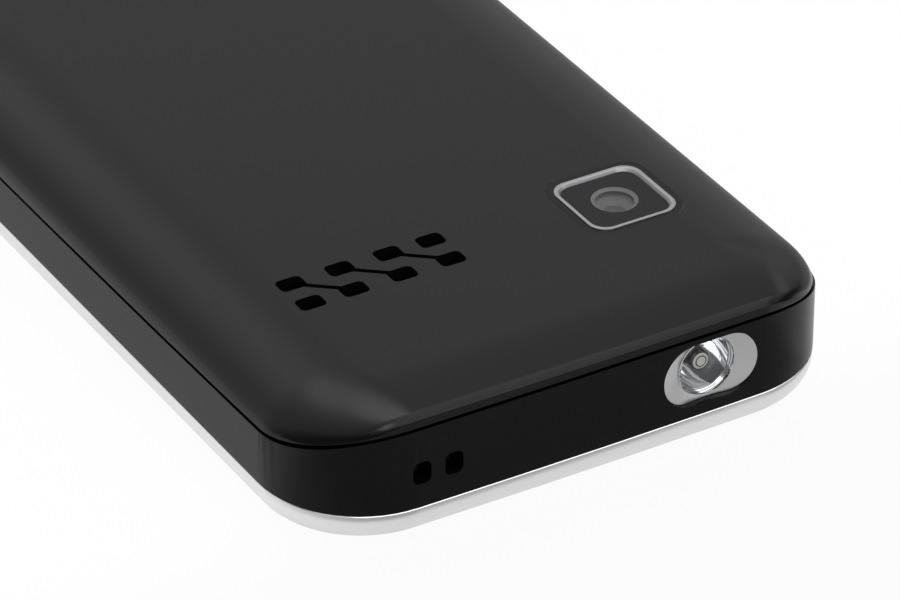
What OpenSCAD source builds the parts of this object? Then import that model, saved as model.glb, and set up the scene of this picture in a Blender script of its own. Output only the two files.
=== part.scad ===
// Feature phone lying on its face. +Z points out of the back and the top end faces -Y.

/* [Body] */
// Width across the long sides
body_w = 50; // [49:0.5:54]
// Length between the two end faces
body_l = 117; // [116:0.5:124]
// Height from the front rim to the back
body_h = 12.2; // [12.1:0.1:13.4]
// Corner radius of the outline
corner_r = 9.2; // [9.1:0.1:10.5]
// Crown of each end face
end_crown = 0.3; // [0.2:0.05:0.6]

/* [Parting line] */
// Drop of the groove below the back at mid length
part_drop = 4.7; // [4.4:0.1:4.9]
// Slow rise of the groove from mid length to the ends
part_sweep = 0.85; // [0.5:0.05:1.1]
// Quick rise of the groove round the corners
part_end_rise = 2; // [1.4:0.1:2.1]
// Length of the quick rise along the side
part_blend = 9.2; // [8:0.1:12]
// Width of the groove between cover and frame
part_gap = 0.3; // [0.2:0.05:0.5]

/* [Back cover] */
// Wall of the cover
cover_t = 1; // [0.8:0.05:1.05]
// Width of the roll along the long sides
roll_side_w = 8.9; // [7:0.1:9]
// Drop of the roll along the long sides
roll_side_h = 4.5; // [4:0.1:4.6]
// Width of the crown along the ends
roll_end_w = 6.3; // [5.5:0.1:7]
// Drop of the crown along the ends
crown_h = 0.6; // [0.5:0.02:0.7]
// Drop of the slope between the crown and the end's wall
brow_h = 0.44; // [0.3:0.01:0.5]
// Width of the slope between the crown and the end's wall
brow_w = 0.44; // [0.4:0.02:0.6]
// Exponent of the roll along the long sides
roll_side_n = 2; // [1.8:0.1:2.4]
// Length of a snap tab
tab_l = 6; // [4:0.5:8]
// Thickness of a snap tab
tab_t = 0.8; // [0.6:0.05:1]
// Distance between snap tabs along a side
tab_pitch = 28; // [24:1:34]

/* [Speaker grille] */
// Grille centre from the left side
grille_from_side = 15.8; // [15.4:0.1:16.2]
// Grille centre from the top end
grille_from_top = 19.1; // [18.6:0.1:19.6]
// Spacing of the joined holes along a row
grille_pitch = 4.45; // [4.2:0.05:4.6]
// Spacing of the lone hole from its row
grille_lone_pitch = 3.93; // [3.7:0.05:4.1]
// Spacing of the two rows
grille_row_pitch = 3.2; // [3:0.05:3.4]
// Hole width
grille_hole_w = 2.3; // [2:0.05:2.5]
// Hole length
grille_hole_l = 1.75; // [1.5:0.05:2]
// Hole corner radius
grille_hole_r = 0.5; // [0.3:0.05:0.7]
// Width of the slot that joins two holes
grille_slot_w = 0.5; // [0.35:0.05:0.7]

/* [Camera] */
// Camera centre from the right side
camera_from_side = 11.5; // [11:0.1:12]
// Camera centre from the top end
camera_from_top = 18.9; // [18.4:0.1:19.4]
// Side of the square bezel
bezel_w = 8.1; // [7.8:0.1:8.4]
// Corner radius of the bezel
bezel_r = 1.6; // [1.3:0.1:1.9]
// Width of the bezel's top face
bezel_face = 0.3; // [0.2:0.05:0.4]
// Depth of the window below the bezel
window_sink = 0.45; // [0.3:0.05:0.5]
// Width of the bezel's sloping inner wall
bezel_slope = 0.35; // [0.2:0.05:0.4]
// Thickness of the camera window
camera_window_t = 0.4; // [0.3:0.05:0.5]
// Gap between bezel and cover
bezel_gap = 0.3; // [0.25:0.05:0.4]
// Width of the cover's sloping lip round the bezel
cover_lip_w = 0.4; // [0.2:0.05:0.5]
// Depth of the cover's sloping lip round the bezel
cover_lip_h = 0.35; // [0.2:0.05:0.5]
// Radius of the lens cone at its mouth
lens_r = 1.95; // [1.7:0.05:2.1]
// Radius of the lens pupil
pupil_r = 0.95; // [0.7:0.05:1.1]

/* [Torch] */
// Torch centre from the right side
torch_from_side = 14.1; // [13.6:0.1:14.6]
// Torch bezel above the silver rim
torch_lift = 1.05; // [1:0.05:1.15]
// Torch bezel below the groove
torch_drop = 0.7; // [0.65:0.05:0.8]
// Torch bezel length
torch_w = 8.75; // [8.4:0.05:9.2]
// Bezel left above and below the torch lens
torch_lens_margin = 0.22; // [0.22:0.01:0.3]
// Height of the lens dome
torch_dome_h = 0.9; // [0.6:0.05:1.1]
// Depth of the bezel dish at the lens
torch_dish = 1; // [0.8:0.05:1.2]
// Depth of the reflector
reflector_l = 2.7; // [2.2:0.1:3]

/* [Lanyard holes] */
// First hole from the left side
lanyard_from_side = 9.45; // [9.1:0.05:9.8]
// Spacing of the two holes
lanyard_pitch = 2.84; // [2.6:0.02:3.2]
// Holes above the silver rim
lanyard_lift = 2.15; // [2.1:0.05:2.6]
// Hole width
lanyard_w = 1.6; // [1.4:0.05:1.8]
// Hole height
lanyard_h = 2; // [1.8:0.05:2.2]

/* [Front frame] */
// Height of the silver rim
rim_h = 3; // [2.8:0.05:3.2]
// Rounding of the rim's front edge
rim_r = 2.5; // [2:0.1:2.6]
// Inset of the rim's front opening
rim_opening = 3.3; // [3.1:0.05:3.5]
// Inset of the rim wall's inner face
rim_wall = 2.2; // [2:0.05:2.25]
// Height of the rim's ledge under the panel
rim_ledge_z = 1.2; // [1:0.05:1.35]
// Fine bevel along the rim's upper edge
rim_bevel = 0.12; // [0.08:0.02:0.2]

/* [Front panel] */
// Height of the panel's face above the table
panel_z = 0.45; // [0.4:0.05:0.6]
// Height of the panel's back above the table
panel_back_z = 2.2; // [2.1:0.05:2.3]
// Gap between panel and rim
panel_gap = 0.1; // [0.08:0.02:0.15]
// Display window from the long sides
window_from_side = 4.5; // [4.3:0.1:5.5]
// Display window thickness
window_t = 0.85; // [0.7:0.05:0.9]
// Display window from the top end
window_from_top = 10.5; // [10:0.1:11]
// Window left beside the display opening
view_margin_w = 2; // [1.5:0.1:3.5]
// Window left above and below the display opening
view_margin_l = 2.5; // [2:0.1:4.5]

/* [Keypad] */
// Key columns from the long sides
keys_from_side = 5.4; // [5.3:0.1:5.8]
// Space between the key columns
key_space_x = 1.3; // [1.2:0.1:1.8]
// First row of number keys from the bottom end
keys_from_bottom = 31.2; // [31:0.1:31.6]
// Key length
key_l = 6.2; // [5.6:0.1:6.3]
// Key corner radius
key_r = 1.4; // [1:0.1:1.8]
// Row spacing of the keys
key_pitch_y = 7; // [6.9:0.05:7.2]
// Key face above the table
key_z = 0.3; // [0.2:0.02:0.36]
// Radius of the key's crowned face
key_crown_r = 90; // [60:5:160]
// Lip that keeps a key behind the panel
key_lip = 0.25; // [0.2:0.01:0.3]
// Thickness of that lip
key_lip_t = 0.4; // [0.3:0.02:0.42]
// Travel of a key
key_travel = 0.3; // [0.2:0.02:0.32]
// Gap round a key
key_gap = 0.12; // [0.08:0.01:0.16]
// Space between the navigation ring and the keys beside it
side_key_gap = 1.5; // [1.4:0.1:2]
// Side of the square navigation ring
nav_w = 13.4; // [12.8:0.1:13.5]
// Corner radius of the navigation ring
nav_r = 3.8; // [3:0.1:4.4]
// Gap round the navigation ring
nav_gap = 0.3; // [0.25:0.01:0.35]
// Radius of the OK key
ok_r = 3.25; // [2.8:0.05:3.3]
// Thickness of the keypad mat
mat_t = 0.35; // [0.3:0.01:0.4]

/* [Inside] */
// Wall of the mid frame
frame_t = 1.8; // [1.6:0.05:1.9]
// Height of the frame's inner lip above the groove
lip_h = 0.2; // [0.15:0.05:0.25]
// Gap between the inner lip and the cover
lip_gap = 0.3; // [0.25:0.01:0.35]
// Height of the deck under the battery
deck_z = 5.9; // [5.85:0.05:6]
// Thickness of the deck
deck_t = 0.6; // [0.5:0.05:0.65]
// Height of the circuit board's front face
board_z = 4.1; // [4.05:0.05:4.15]
// Thickness of the circuit board
board_t = 0.9; // [0.8:0.05:1]
// Battery from the long sides
battery_from_side = 7.8; // [7.6:0.1:8.6]
// Battery length
battery_l = 50; // [47:0.5:50.5]
// Gap between battery and cover
battery_gap = 0.2; // [0.1:0.05:0.6]
// Battery from the top end
battery_from_top = 27; // [26.8:0.1:27.4]
// Audio plug bore radius
jack_bore_r = 1.8; // [1.76:0.01:1.85]
// Audio plug bore length
jack_bore_l = 14; // [13:0.2:14.2]
// Audio jack from the left side
jack_from_side = 9.5; // [9.2:0.1:10.5]
// Axis height of the audio jack
jack_z = 6.6; // [6.6:0.02:6.7]
// Gap between neighbouring pieces
fit_gap = 0.05; // [0.03:0.01:0.08]
// Screw thread radius
screw_r = 0.55; // [0.45:0.05:0.6]
// Screw head radius
screw_head_r = 1.15; // [1:0.05:1.2]

/* [Hidden] */
$fn = 48;
eps = 0.01;
// Overshoot of a cut past the surface that it opens
cut = 1;
KEY_NAMES = ["key_1", "key_2", "key_3", "key_4", "key_5", "key_6", "key_7", "key_8", "key_9",
    "key_star", "key_0", "key_hash"];
SIDE_KEY_NAMES = ["soft_key_left", "soft_key_right", "call_key", "end_key"];

// Outline: straight sides, round corners and ends that are arcs of one large circle
half_w = body_w / 2;
half_l = body_l / 2;
y_top = -half_l;
y_bottom = half_l;
end_r = half_w * half_w / (2 * end_crown) + end_crown / 2;
corner_x = half_w - corner_r;
corner_y = half_l - end_r + sqrt(pow(end_r - corner_r, 2) - pow(corner_x, 2));
end_tilt = atan(corner_x / (corner_y - half_l + end_r));
// Length of one flat on the large end circles
end_flat = 3;

// Heights through the phone
part_mid_z = body_h - part_drop;
part_end_z = part_mid_z + part_sweep + part_end_rise;
board_back_z = board_z + board_t;
deck_top_z = deck_z + deck_t;
cover_inner_z = body_h - cover_t;
lip_back_z = panel_back_z + fit_gap;
mat_z = lip_back_z + key_lip_t + key_travel + fit_gap;
dome_sheet_t = 0.2;
dome_h = 0.15;
dome_r = 2;
dome_top_r = 1.2;
dome_sheet_z = board_z - dome_sheet_t;
plunger_r = 1.2;
plunger_end_z = dome_sheet_z - dome_h - 2 * fit_gap;

// Places along the phone
grille_x = grille_from_side - half_w;
grille_y = y_top + grille_from_top;
camera_x = half_w - camera_from_side;
camera_y = y_top + camera_from_top;
keys_space = 12.1;
keys_y = y_bottom - keys_from_bottom;
nav_y = keys_y - keys_space;
nav_space = 10.2;
window_y0 = y_top + window_from_top;
window_w = body_w - 2 * window_from_side;
window_l = nav_y - nav_space - window_y0;
window_y = window_y0 + window_l / 2;
window_r = 2.5;
view_w = window_w - 2 * view_margin_w;
view_l = window_l - 2 * view_margin_l;
view_r = 1;
key_w = (body_w - 2 * keys_from_side - 2 * key_space_x) / 3;
key_pitch_x = key_w + key_space_x;
side_key_w = half_w - keys_from_side - nav_w / 2 - side_key_gap;
side_key_x = half_w - keys_from_side - side_key_w / 2;
side_key_space = 0.9;
side_key_y = (key_l + side_key_space) / 2;
nav_lip = 0.4;
nav_hole_w = nav_w + 2 * (nav_lip + nav_gap);
mat_margin = 1.1;
keypad_y0 = nav_y - nav_hole_w / 2 - mat_margin;
keypad_y1 = keys_y + 3 * key_pitch_y + key_l / 2 + key_lip;
keypad_x = key_pitch_x + key_w / 2 + key_lip + fit_gap;

// Screws along each side, and the bosses that they hold together
screw_inset = 3.6;
screw_from_top = 9;
screw_mid_from_top = 68;
screw_from_bottom = 12;
screw_x = half_w - screw_inset;
screw_ys = [y_top + screw_from_top, y_top + screw_mid_from_top, y_bottom - screw_from_bottom];
boss_margin = 0.1;
boss_r = screw_head_r + boss_margin;
boss_floor = 0.2;
screw_tip_gap = 0.2;
screw_head_h = 0.6;
screw_slot_l = 1.3;
screw_slot_w = 0.26;
screw_slot_depth = 0.3;
screw_end_z = panel_back_z + boss_floor + screw_tip_gap;

// Ports in the bottom end
usb_w = 7.6;
usb_h = 2.9;
usb_l = 5.3;
usb_r = 0.7;
usb_wall = 0.3;
usb_back = 0.7;
usb_sink = 0.6;
usb_tongue_w = 3.6;
usb_tongue_t = 0.6;
usb_tongue_sink = 1;
usb_z = board_back_z + usb_h / 2;
port_gap = 0.2;
jack_x = jack_from_side - half_w;
jack_body_w = 6;
jack_body_h = 2 * (jack_z - board_z);
jack_nose_r = 2.45;
jack_nose_l = 2.9;
jack_sink = 0.3;
jack_back = 0.5;
jack_mouth_y = y_bottom - jack_sink;
jack_body_y1 = jack_mouth_y - jack_nose_l;
jack_body_y0 = jack_mouth_y - jack_bore_l - jack_back;

// Torch, measured inwards from the end face
torch_x = half_w - torch_from_side;
torch_h = part_end_z - torch_drop - rim_h - torch_lift;
torch_z = rim_h + torch_lift + torch_h / 2;
torch_lens_d = torch_h - 2 * torch_lens_margin;
torch_sink = 0.1;
torch_y = y_top + torch_sink;
torch_bezel_l = 3;
torch_lens_y = torch_y + torch_dish;
torch_lens_t = 0.6;
torch_bore_r = torch_lens_d / 2 + fit_gap;
reflector_y = torch_lens_y + torch_lens_t + fit_gap;
torch_board_y = reflector_y + reflector_l;
torch_board_t = 0.6;
torch_board_w = 6;
torch_pocket_gap = 0.7;
torch_pocket_w = torch_w + 2 * torch_pocket_gap;
torch_pocket_y = torch_board_y + torch_board_t + torch_pocket_gap;

// Battery bay and what lies beyond it on the deck
battery_w = body_w - 2 * battery_from_side;
battery_t = cover_inner_z - battery_gap - deck_top_z;
battery_y0 = y_top + battery_from_top;
battery_y1 = battery_y0 + battery_l;
bay_gap = 0.25;
bay_wall = 0.8;
bay_wall_h = 2.5;
contact_l = 0.5;
connector_w = 10;
connector_l = 2.8;
connector_drop = 0.8;
connector_h = battery_t - connector_drop;
connector_y0 = battery_y1 + contact_l;
holder_gap = 1.2;
holder_y0 = connector_y0 + connector_l + holder_gap;
holder_jack_gap = 3.7;
holder_l = jack_body_y0 - holder_jack_gap - holder_y0;
holder_clip_share = 0.6;
holder_clip_l = holder_clip_share * holder_l;
holder_h = 1.4;
holder_sheet = 0.25;
memory_w = 12.6;
holder_space = 0.5;
holders_inset = 3;
holders_x0 = holders_inset - half_w;
sim_w = (body_w - 2 * holders_inset - memory_w) / 2 - holder_space;
antenna_gap = 1.8;
antenna_side_gap = 0.7;
antenna_y0 = holder_y0 + holder_l + antenna_gap;
antenna_l = 9;
antenna_h = 2.1;
antenna_r = 1;
antenna_x0 = jack_x + jack_body_w / 2 + antenna_gap + antenna_side_gap;
antenna_x1 = screw_x - boss_r - antenna_side_gap;

// Height of the groove at distance y along the phone
function groove_z(y) =
    let (d = half_l - abs(y))
    let (quick = max(0, 1 - max(d, 0) / part_blend))
    part_mid_z + part_sweep * pow(1 - d / half_l, 2) + part_end_rise * pow(quick, 2);

// Stations round the outline as [x, y, normal x, normal y], counter-clockwise
corner_steps = 14;
end_steps = 4;
corner_folds = [for (i = [0:corner_steps]) (90 - end_tilt) * i / corner_steps];
end_folds = [for (j = [1:end_steps]) 90 - end_tilt + end_tilt * j / end_steps];
folds = concat(corner_folds, end_folds);
back_folds = [for (i = [len(folds) - 2:-1:0]) folds[i]];
function station(sx, sy, fold) =
    let (n = [sx * cos(fold), sy * sin(fold)])
    let (on_corner = fold <= 90 - end_tilt + eps)
    let (c = on_corner ? [sx * corner_x, sy * corner_y] : [0, sy * (half_l - end_r)])
    let (r = on_corner ? corner_r : end_r)
    [c.x + r * n.x, c.y + r * n.y, n.x, n.y];
stations = concat(
    [for (f = folds) station(1, 1, f)], [for (f = back_folds) station(-1, 1, f)],
    [for (f = folds) station(-1, -1, f)], [for (f = back_folds) station(1, -1, f)]);

// Ring of points round the outline, moved inwards by inset, at one height
function flat_ring(inset, z) = [for (s = stations) [s[0] - s[2] * inset, s[1] - s[3] * inset, z]];

// Ring of the cover's rolled back at share u of the roll's width; off is the depth below the outer skin
function mix(end_value, side_value, s) = end_value + (side_value - end_value) * (1 - pow(s[3], 4));
function side_drop(u) = 1 - pow(1 - pow(1 - u, 2), 1 / roll_side_n);
function end_drop(u, off) = (crown_h - inner_relief * off) * pow(1 - u, 2);
function brow_drop(x) = brow_h * pow(max(0, 1 - x / brow_w), brow_n);
function roll_ring(u, off) = [for (s = stations)
    let (w = mix(roll_end_w, roll_side_w, s) - off)
    let (inset = off + w * u)
    let (drop = mix(end_drop(u, off) + brow_drop(inset), (roll_side_h - off) * side_drop(u), s))
    [s[0] - s[2] * inset, s[1] - s[3] * inset, body_h - off - drop]];
brow_n = 1.2;
inner_relief = 0.45;
roll_shares = [
    0, 0.004, 0.014, 0.03, 0.05, 0.07, 0.09, 0.12, 0.16, 0.22, 0.3, 0.39, 0.49, 0.6, 0.72, 0.86, 1];

// Height of the rolled back at a distance in from the long side
function side_roll_z(inset, off) =
    let (u = (inset - off) / (roll_side_w - off))
    body_h - off - (roll_side_h - off) * side_drop(u);

// Closed skin through a stack of rings, from the lowest ring to the highest
module skin(rings) {
    n = len(rings[0]);
    last = len(rings) - 1;
    sides = [for (k = [0:last - 1], i = [0:n - 1], t = [0, 1])
        let (a = k * n + i, b = k * n + (i + 1) % n)
        t == 0 ? [a, a + n, b + n] : [a, b + n, b]];
    caps = [[for (i = [0:n - 1]) i], [for (i = [n - 1:-1:0]) last * n + i]];
    polyhedron(points = [for (r = rings, p = r) p], faces = concat(sides, caps));
}

// Closed shell through rings that run up the outside and down the inside
module shell(rings) {
    n = len(rings[0]);
    m = len(rings);
    sides = [for (k = [0:m - 1], i = [0:n - 1], t = [0, 1])
        let (a = k * n + i, b = k * n + (i + 1) % n)
        let (c = (k + 1) % m * n + i, d = (k + 1) % m * n + (i + 1) % n)
        t == 0 ? [a, c, d] : [a, d, b]];
    polyhedron(points = [for (r = rings, p = r) p], faces = sides);
}

// Large circle whose arc is one end of the outline
module end_disc(inset, side) {
    translate([0, side * (half_l - end_r)])
        circle(end_r - inset, $fn = ceil(2 * PI * end_r / end_flat));
}

// Outline with true arcs, moved inwards by inset
module outline(inset) {
    r = corner_r - inset;
    reach = r + 2 * cut;
    difference() {
        intersection() {
            square([body_w - 2 * inset, body_l], center = true);
            end_disc(inset, 1);
            end_disc(inset, -1);
        }
        for (sx = [1, -1], sy = [1, -1])
            scale([sx, sy])
                translate([corner_x, corner_y])
                    difference() {
                        polygon([[0, 0], [reach, 0], [reach, reach], [reach * tan(end_tilt), reach]]);
                        circle(r);
                    }
    }
}

module slab(inset, z0, z1) {
    translate([0, 0, z0])
        linear_extrude(z1 - z0)
            outline(inset);
}

module ring_slab(inset, inner_inset, z0, z1) {
    difference() {
        slab(inset, z0, z1);
        slab(inner_inset, z0 - cut, z1 + cut);
    }
}

// Everything below the groove's middle line, shifted by dz
groove_steps = 12;
groove_margin = 1;
groove_slow = [for (i = [0:groove_steps - 1]) (half_l - part_blend) * i / groove_steps];
groove_quick = [for (i = [0:groove_steps]) half_l - part_blend * (1 - i / groove_steps)];
groove_half = concat(groove_slow, groove_quick, [half_l + groove_margin]);
groove_ys = concat([for (i = [len(groove_half) - 1:-1:1]) -groove_half[i]], groove_half);
module below_groove(dz) {
    rotate([90, 0, 90])
        linear_extrude(body_w + 2 * groove_margin, center = true)
            polygon(concat([for (y = groove_ys) [y, groove_z(y) + dz]],
                [[half_l + groove_margin, 0], [-half_l - groove_margin, 0]]));
}

module round_rect(w, l, r) {
    square([w - 2 * r, l], center = true);
    square([w, l - 2 * r], center = true);
    for (sx = [1, -1], sy = [1, -1])
        translate([sx * (w / 2 - r), sy * (l / 2 - r)])
            circle(r);
}

module plate(w, l, r, z0, z1) {
    translate([0, 0, z0])
        linear_extrude(z1 - z0)
            round_rect(w, l, r);
}

// Box by its middle in x and its limits in y and z
module block(x, w, y0, y1, z0, z1) {
    translate([x - w / 2, y0, z0])
        cube([w, y1 - y0, z1 - z0]);
}

// Solid of length l whose section lies in X and Z and which runs towards +Y from y0
module along_y(x, y0, z, l) {
    translate([x, y0 + l, z])
        rotate([90, 0, 0])
            linear_extrude(l)
                children();
}

module at_screws() {
    for (sx = [1, -1], y = screw_ys)
        translate([sx * screw_x, y, 0])
            children();
}

// Speaker grille: two rows of four holes, three pairs of them joined by diagonal slots
grille_x0 = -(2 * grille_pitch + grille_lone_pitch) / 2;
grille_xs = [grille_x0, grille_x0 + grille_pitch, grille_x0 + 2 * grille_pitch, -grille_x0];
module grille() {
    for (row = [1, -1], x = grille_xs)
        translate([row * x, row * grille_row_pitch / 2])
            round_rect(grille_hole_w, grille_hole_l, grille_hole_r);
    for (i = [0:2]) {
        dx = -grille_xs[2 - i] - grille_xs[i];
        translate([(grille_xs[i] - grille_xs[2 - i]) / 2, 0])
            rotate(atan2(-grille_row_pitch, dx))
                square([norm([dx, grille_row_pitch]), grille_slot_w], center = true);
    }
}

// Rolled rim of the cover, its flat middle, and the tabs that snap into the frame
tab_floor_gap = 0.7;
tab_inset = frame_t + lip_gap;
tab_low_z = deck_top_z + tab_floor_gap;
tab_mid_inset = tab_inset + tab_t / 2;
tab_top_z = (side_roll_z(tab_mid_inset, 0) + side_roll_z(tab_mid_inset, cover_t)) / 2;
module back_cover() color("#303032") {
    hole_w = bezel_w + 2 * bezel_gap;
    hole_r = bezel_r + bezel_gap;
    difference() {
        union() {
            difference() {
                shell(concat([flat_ring(0, rim_h)], [for (u = roll_shares) roll_ring(u, 0)],
                    [for (i = [len(roll_shares) - 1:-1:0]) roll_ring(roll_shares[i], cover_t)],
                    [flat_ring(cover_t, rim_h)]));
                below_groove(part_gap / 2);
            }
            translate([0, 0, cover_inner_z])
                linear_extrude(cover_t)
                    polygon([for (p = roll_ring(1, 0)) [p.x, p.y]]);
            for (sx = [1, -1], i = [-1:1])
                block(sx * (half_w - tab_mid_inset), tab_t, i * tab_pitch - tab_l / 2,
                    i * tab_pitch + tab_l / 2, tab_low_z, tab_top_z);
        }
        translate([grille_x, grille_y, cover_inner_z - cut])
            linear_extrude(cover_t + 2 * cut)
                grille();
        translate([camera_x, camera_y, 0])
            plate(hole_w, hole_w, hole_r, cover_inner_z - cut, body_h + cut);
        translate([camera_x, camera_y, body_h - cover_lip_h])
            linear_extrude(2 * cover_lip_h, scale = (hole_w + 4 * cover_lip_w) / hole_w)
                round_rect(hole_w, hole_w, hole_r);
    }
}

deck_inset = (cover_t + lip_gap + frame_t) / 2;
module mid_frame() color("#19191b") {
    difference() {
        union() {
            intersection() {
                ring_slab(0, frame_t, rim_h, body_h);
                below_groove(-part_gap / 2);
            }
            intersection() {
                ring_slab(cover_t + lip_gap, frame_t, deck_z, body_h);
                below_groove(lip_h);
            }
            slab(deck_inset, deck_z, deck_top_z);
            bay_walls();
            at_screws()
                translate([0, 0, board_back_z])
                    cylinder(r = boss_r, h = deck_top_z - board_back_z);
        }
        at_screws()
            translate([0, 0, board_back_z - cut])
                cylinder(r = screw_r + fit_gap, h = deck_top_z - board_back_z + 2 * cut);
        end_openings();
        deck_openings();
    }
}

// Low wall round the battery, open at its connector
module bay_walls() {
    w = battery_w + 2 * bay_gap;
    y0 = battery_y0 - bay_gap;
    y1 = battery_y1 + bay_gap;
    z1 = deck_top_z + bay_wall_h;
    difference() {
        block(0, w + 2 * bay_wall, y0 - bay_wall, y1 + bay_wall, deck_z, z1);
        block(0, w, y0, y1, deck_z - cut, z1 + cut);
        block(0, connector_w + cut, y1 - cut, y1 + bay_wall + cut, deck_z - cut, z1 + cut);
    }
}

// Holes through the two end walls
lanyard_r = 0.55;
lanyard_x = lanyard_from_side - half_w;
lanyard_z = rim_h + lanyard_lift + lanyard_h / 2;
module end_openings() {
    along_y(torch_x, y_top - cut, torch_z, frame_t + 2 * cut)
        round_rect(torch_w + 2 * fit_gap, torch_h + 2 * fit_gap, torch_h / 2 + fit_gap - eps);
    for (i = [0, 1])
        along_y(lanyard_x + i * lanyard_pitch, y_top - cut, lanyard_z, frame_t + 2 * cut)
            round_rect(lanyard_w, lanyard_h, lanyard_r);
    along_y(0, y_bottom - frame_t - cut, usb_z, frame_t + 2 * cut)
        round_rect(usb_w + 2 * port_gap, usb_h + 2 * port_gap, usb_r + port_gap);
    along_y(jack_x, y_bottom - frame_t - cut, jack_z, frame_t + 2 * cut)
        circle(jack_nose_r + port_gap / 2);
}

// Openings in the deck for what stands on the circuit board, and the pocket behind the lanyard holes
lanyard_pocket_gap = 0.7;
lanyard_pocket_l = 2;
module deck_openings() {
    z0 = board_back_z - cut;
    z1 = deck_top_z + cut;
    wall_y = half_l - frame_t - end_crown;
    lanyard_pocket_w = lanyard_pitch + lanyard_w + 2 * lanyard_pocket_gap;
    module_w = bezel_w + 4 * fit_gap;
    block(torch_x, torch_pocket_w, -wall_y, torch_pocket_y, z0, z1);
    block(lanyard_x + lanyard_pitch / 2, lanyard_pocket_w, -wall_y, -wall_y + lanyard_pocket_l, z0, z1);
    block(camera_x, module_w, camera_y - module_w / 2, camera_y + module_w / 2, z0, z1);
    block(0, usb_w + 2 * port_gap, y_bottom - usb_sink - usb_l - port_gap, wall_y, z0, z1);
    block(jack_x, jack_body_w + 2 * port_gap, jack_body_y0 - port_gap, wall_y, z0, z1);
}

rim_turn = 10;
module front_frame() color("#c9cacc") {
    turns = [for (a = [90:-rim_turn:0]) flat_ring(rim_r * (1 - cos(a)), rim_r * (1 - sin(a)))];
    difference() {
        skin(concat(turns, [flat_ring(0, rim_h - rim_bevel), flat_ring(rim_bevel, rim_h)]));
        slab(rim_opening, -cut, rim_h + cut);
        slab(rim_wall, rim_ledge_z, rim_h + cut);
    }
}

module front_panel() color("#101012") {
    difference() {
        union() {
            slab(rim_opening + panel_gap, panel_z, panel_back_z);
            slab(rim_wall + panel_gap, rim_ledge_z, panel_back_z);
            at_screws()
                translate([0, 0, panel_back_z - eps])
                    cylinder(r = boss_r, h = board_z - panel_back_z + eps);
        }
        translate([0, window_y, 0])
            plate(window_w + 2 * fit_gap, window_l + 2 * fit_gap, window_r, -cut,
                panel_z + fit_gap + window_t);
        translate([0, window_y, 0])
            plate(view_w, view_l, view_r, -cut, panel_back_z + cut);
        at_number_keys()
            plate(key_w + 2 * key_gap, key_l + 2 * key_gap, key_r, -cut, panel_back_z + cut);
        at_side_keys()
            plate(side_key_w + 2 * key_gap, key_l + 2 * key_gap, key_r, -cut, panel_back_z + cut);
        translate([0, nav_y, 0])
            plate(nav_w + 2 * nav_gap, nav_w + 2 * nav_gap, nav_r + nav_gap, -cut, panel_back_z + cut);
        translate([0, earpiece_y, 0])
            plate(earpiece_slot_w, earpiece_slot_l, earpiece_slot_l / 2 - eps, -cut, panel_back_z + cut);
        translate([0, earpiece_y, 0])
            plate(mesh_w + 2 * fit_gap, mesh_l + 2 * fit_gap, mesh_l / 2 - eps, mesh_z, panel_back_z + cut);
        translate([microphone_x, microphone_y, -cut])
            cylinder(r = microphone_hole_r, h = panel_back_z + 2 * cut);
        at_screws()
            translate([0, 0, panel_back_z + boss_floor])
                cylinder(r = screw_r + fit_gap, h = board_z);
    }
}

module display_window() color("#0b0c10") {
    translate([0, window_y, 0])
        plate(window_w, window_l, window_r - fit_gap, panel_z + fit_gap, panel_z + fit_gap + window_t);
}

lcd_margin = 0.4;
lcd_shift = 1;
lcd_r = 0.8;
module lcd_module() color("#3b3f45") {
    translate([0, window_y + lcd_shift, 0])
        plate(window_w + 2 * lcd_margin, window_l + 2 * lcd_margin, lcd_r, lip_back_z, board_z - fit_gap);
}

// Earpiece behind its slot in the panel
earpiece_from_top = 6.9;
earpiece_y = y_top + earpiece_from_top;
earpiece_w = 11;
earpiece_l = 5;
earpiece_r = 2;
earpiece_slot_w = 9;
earpiece_slot_l = 1.4;
mesh_w = 9.8;
mesh_l = 2;
mesh_t = 0.2;
mesh_sink = 0.6;
mesh_z = panel_back_z - mesh_sink;
module earpiece() color("#2a2b2e") {
    translate([0, earpiece_y, 0])
        plate(earpiece_w, earpiece_l, earpiece_r, lip_back_z, board_z - fit_gap);
}

module earpiece_mesh() color("#77787c") {
    translate([0, earpiece_y, 0])
        plate(mesh_w, mesh_l, mesh_l / 2 - eps, mesh_z, mesh_z + mesh_t);
}

microphone_x = 9.5;
microphone_from_bottom = 4.6;
microphone_y = y_bottom - microphone_from_bottom;
microphone_r = 1.6;
microphone_hole_r = 0.5;
module microphone() color("#b9bbc0") {
    translate([microphone_x, microphone_y, lip_back_z])
        cylinder(r = microphone_r, h = board_z - fit_gap - lip_back_z);
}

module at_number_keys() {
    for (i = [0:11])
        translate([(i % 3 - 1) * key_pitch_x, keys_y + floor(i / 3) * key_pitch_y, 0])
            children();
}

function side_key_place(i) = [(i % 2 * 2 - 1) * side_key_x, nav_y + (floor(i / 2) * 2 - 1) * side_key_y, 0];

module at_side_keys() {
    for (i = [0:3])
        translate(side_key_place(i))
            children();
}

// One key: a crowned cap that shows and a lip that stays behind the panel
module key_body(w) {
    intersection() {
        plate(w, key_l, key_r - key_gap, key_z - cut, lip_back_z + key_lip_t);
        translate([0, 0, key_z + key_crown_r])
            sphere(key_crown_r, $fn = 180);
    }
    plate(w + 2 * key_lip, key_l + 2 * key_lip, key_r, lip_back_z, lip_back_z + key_lip_t);
}

module number_key(i) color("#1a1b1e") {
    translate([(i % 3 - 1) * key_pitch_x, keys_y + floor(i / 3) * key_pitch_y, 0])
        key_body(key_w);
}

module side_key(i) color("#1a1b1e") {
    translate(side_key_place(i))
        key_body(side_key_w);
}

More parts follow.
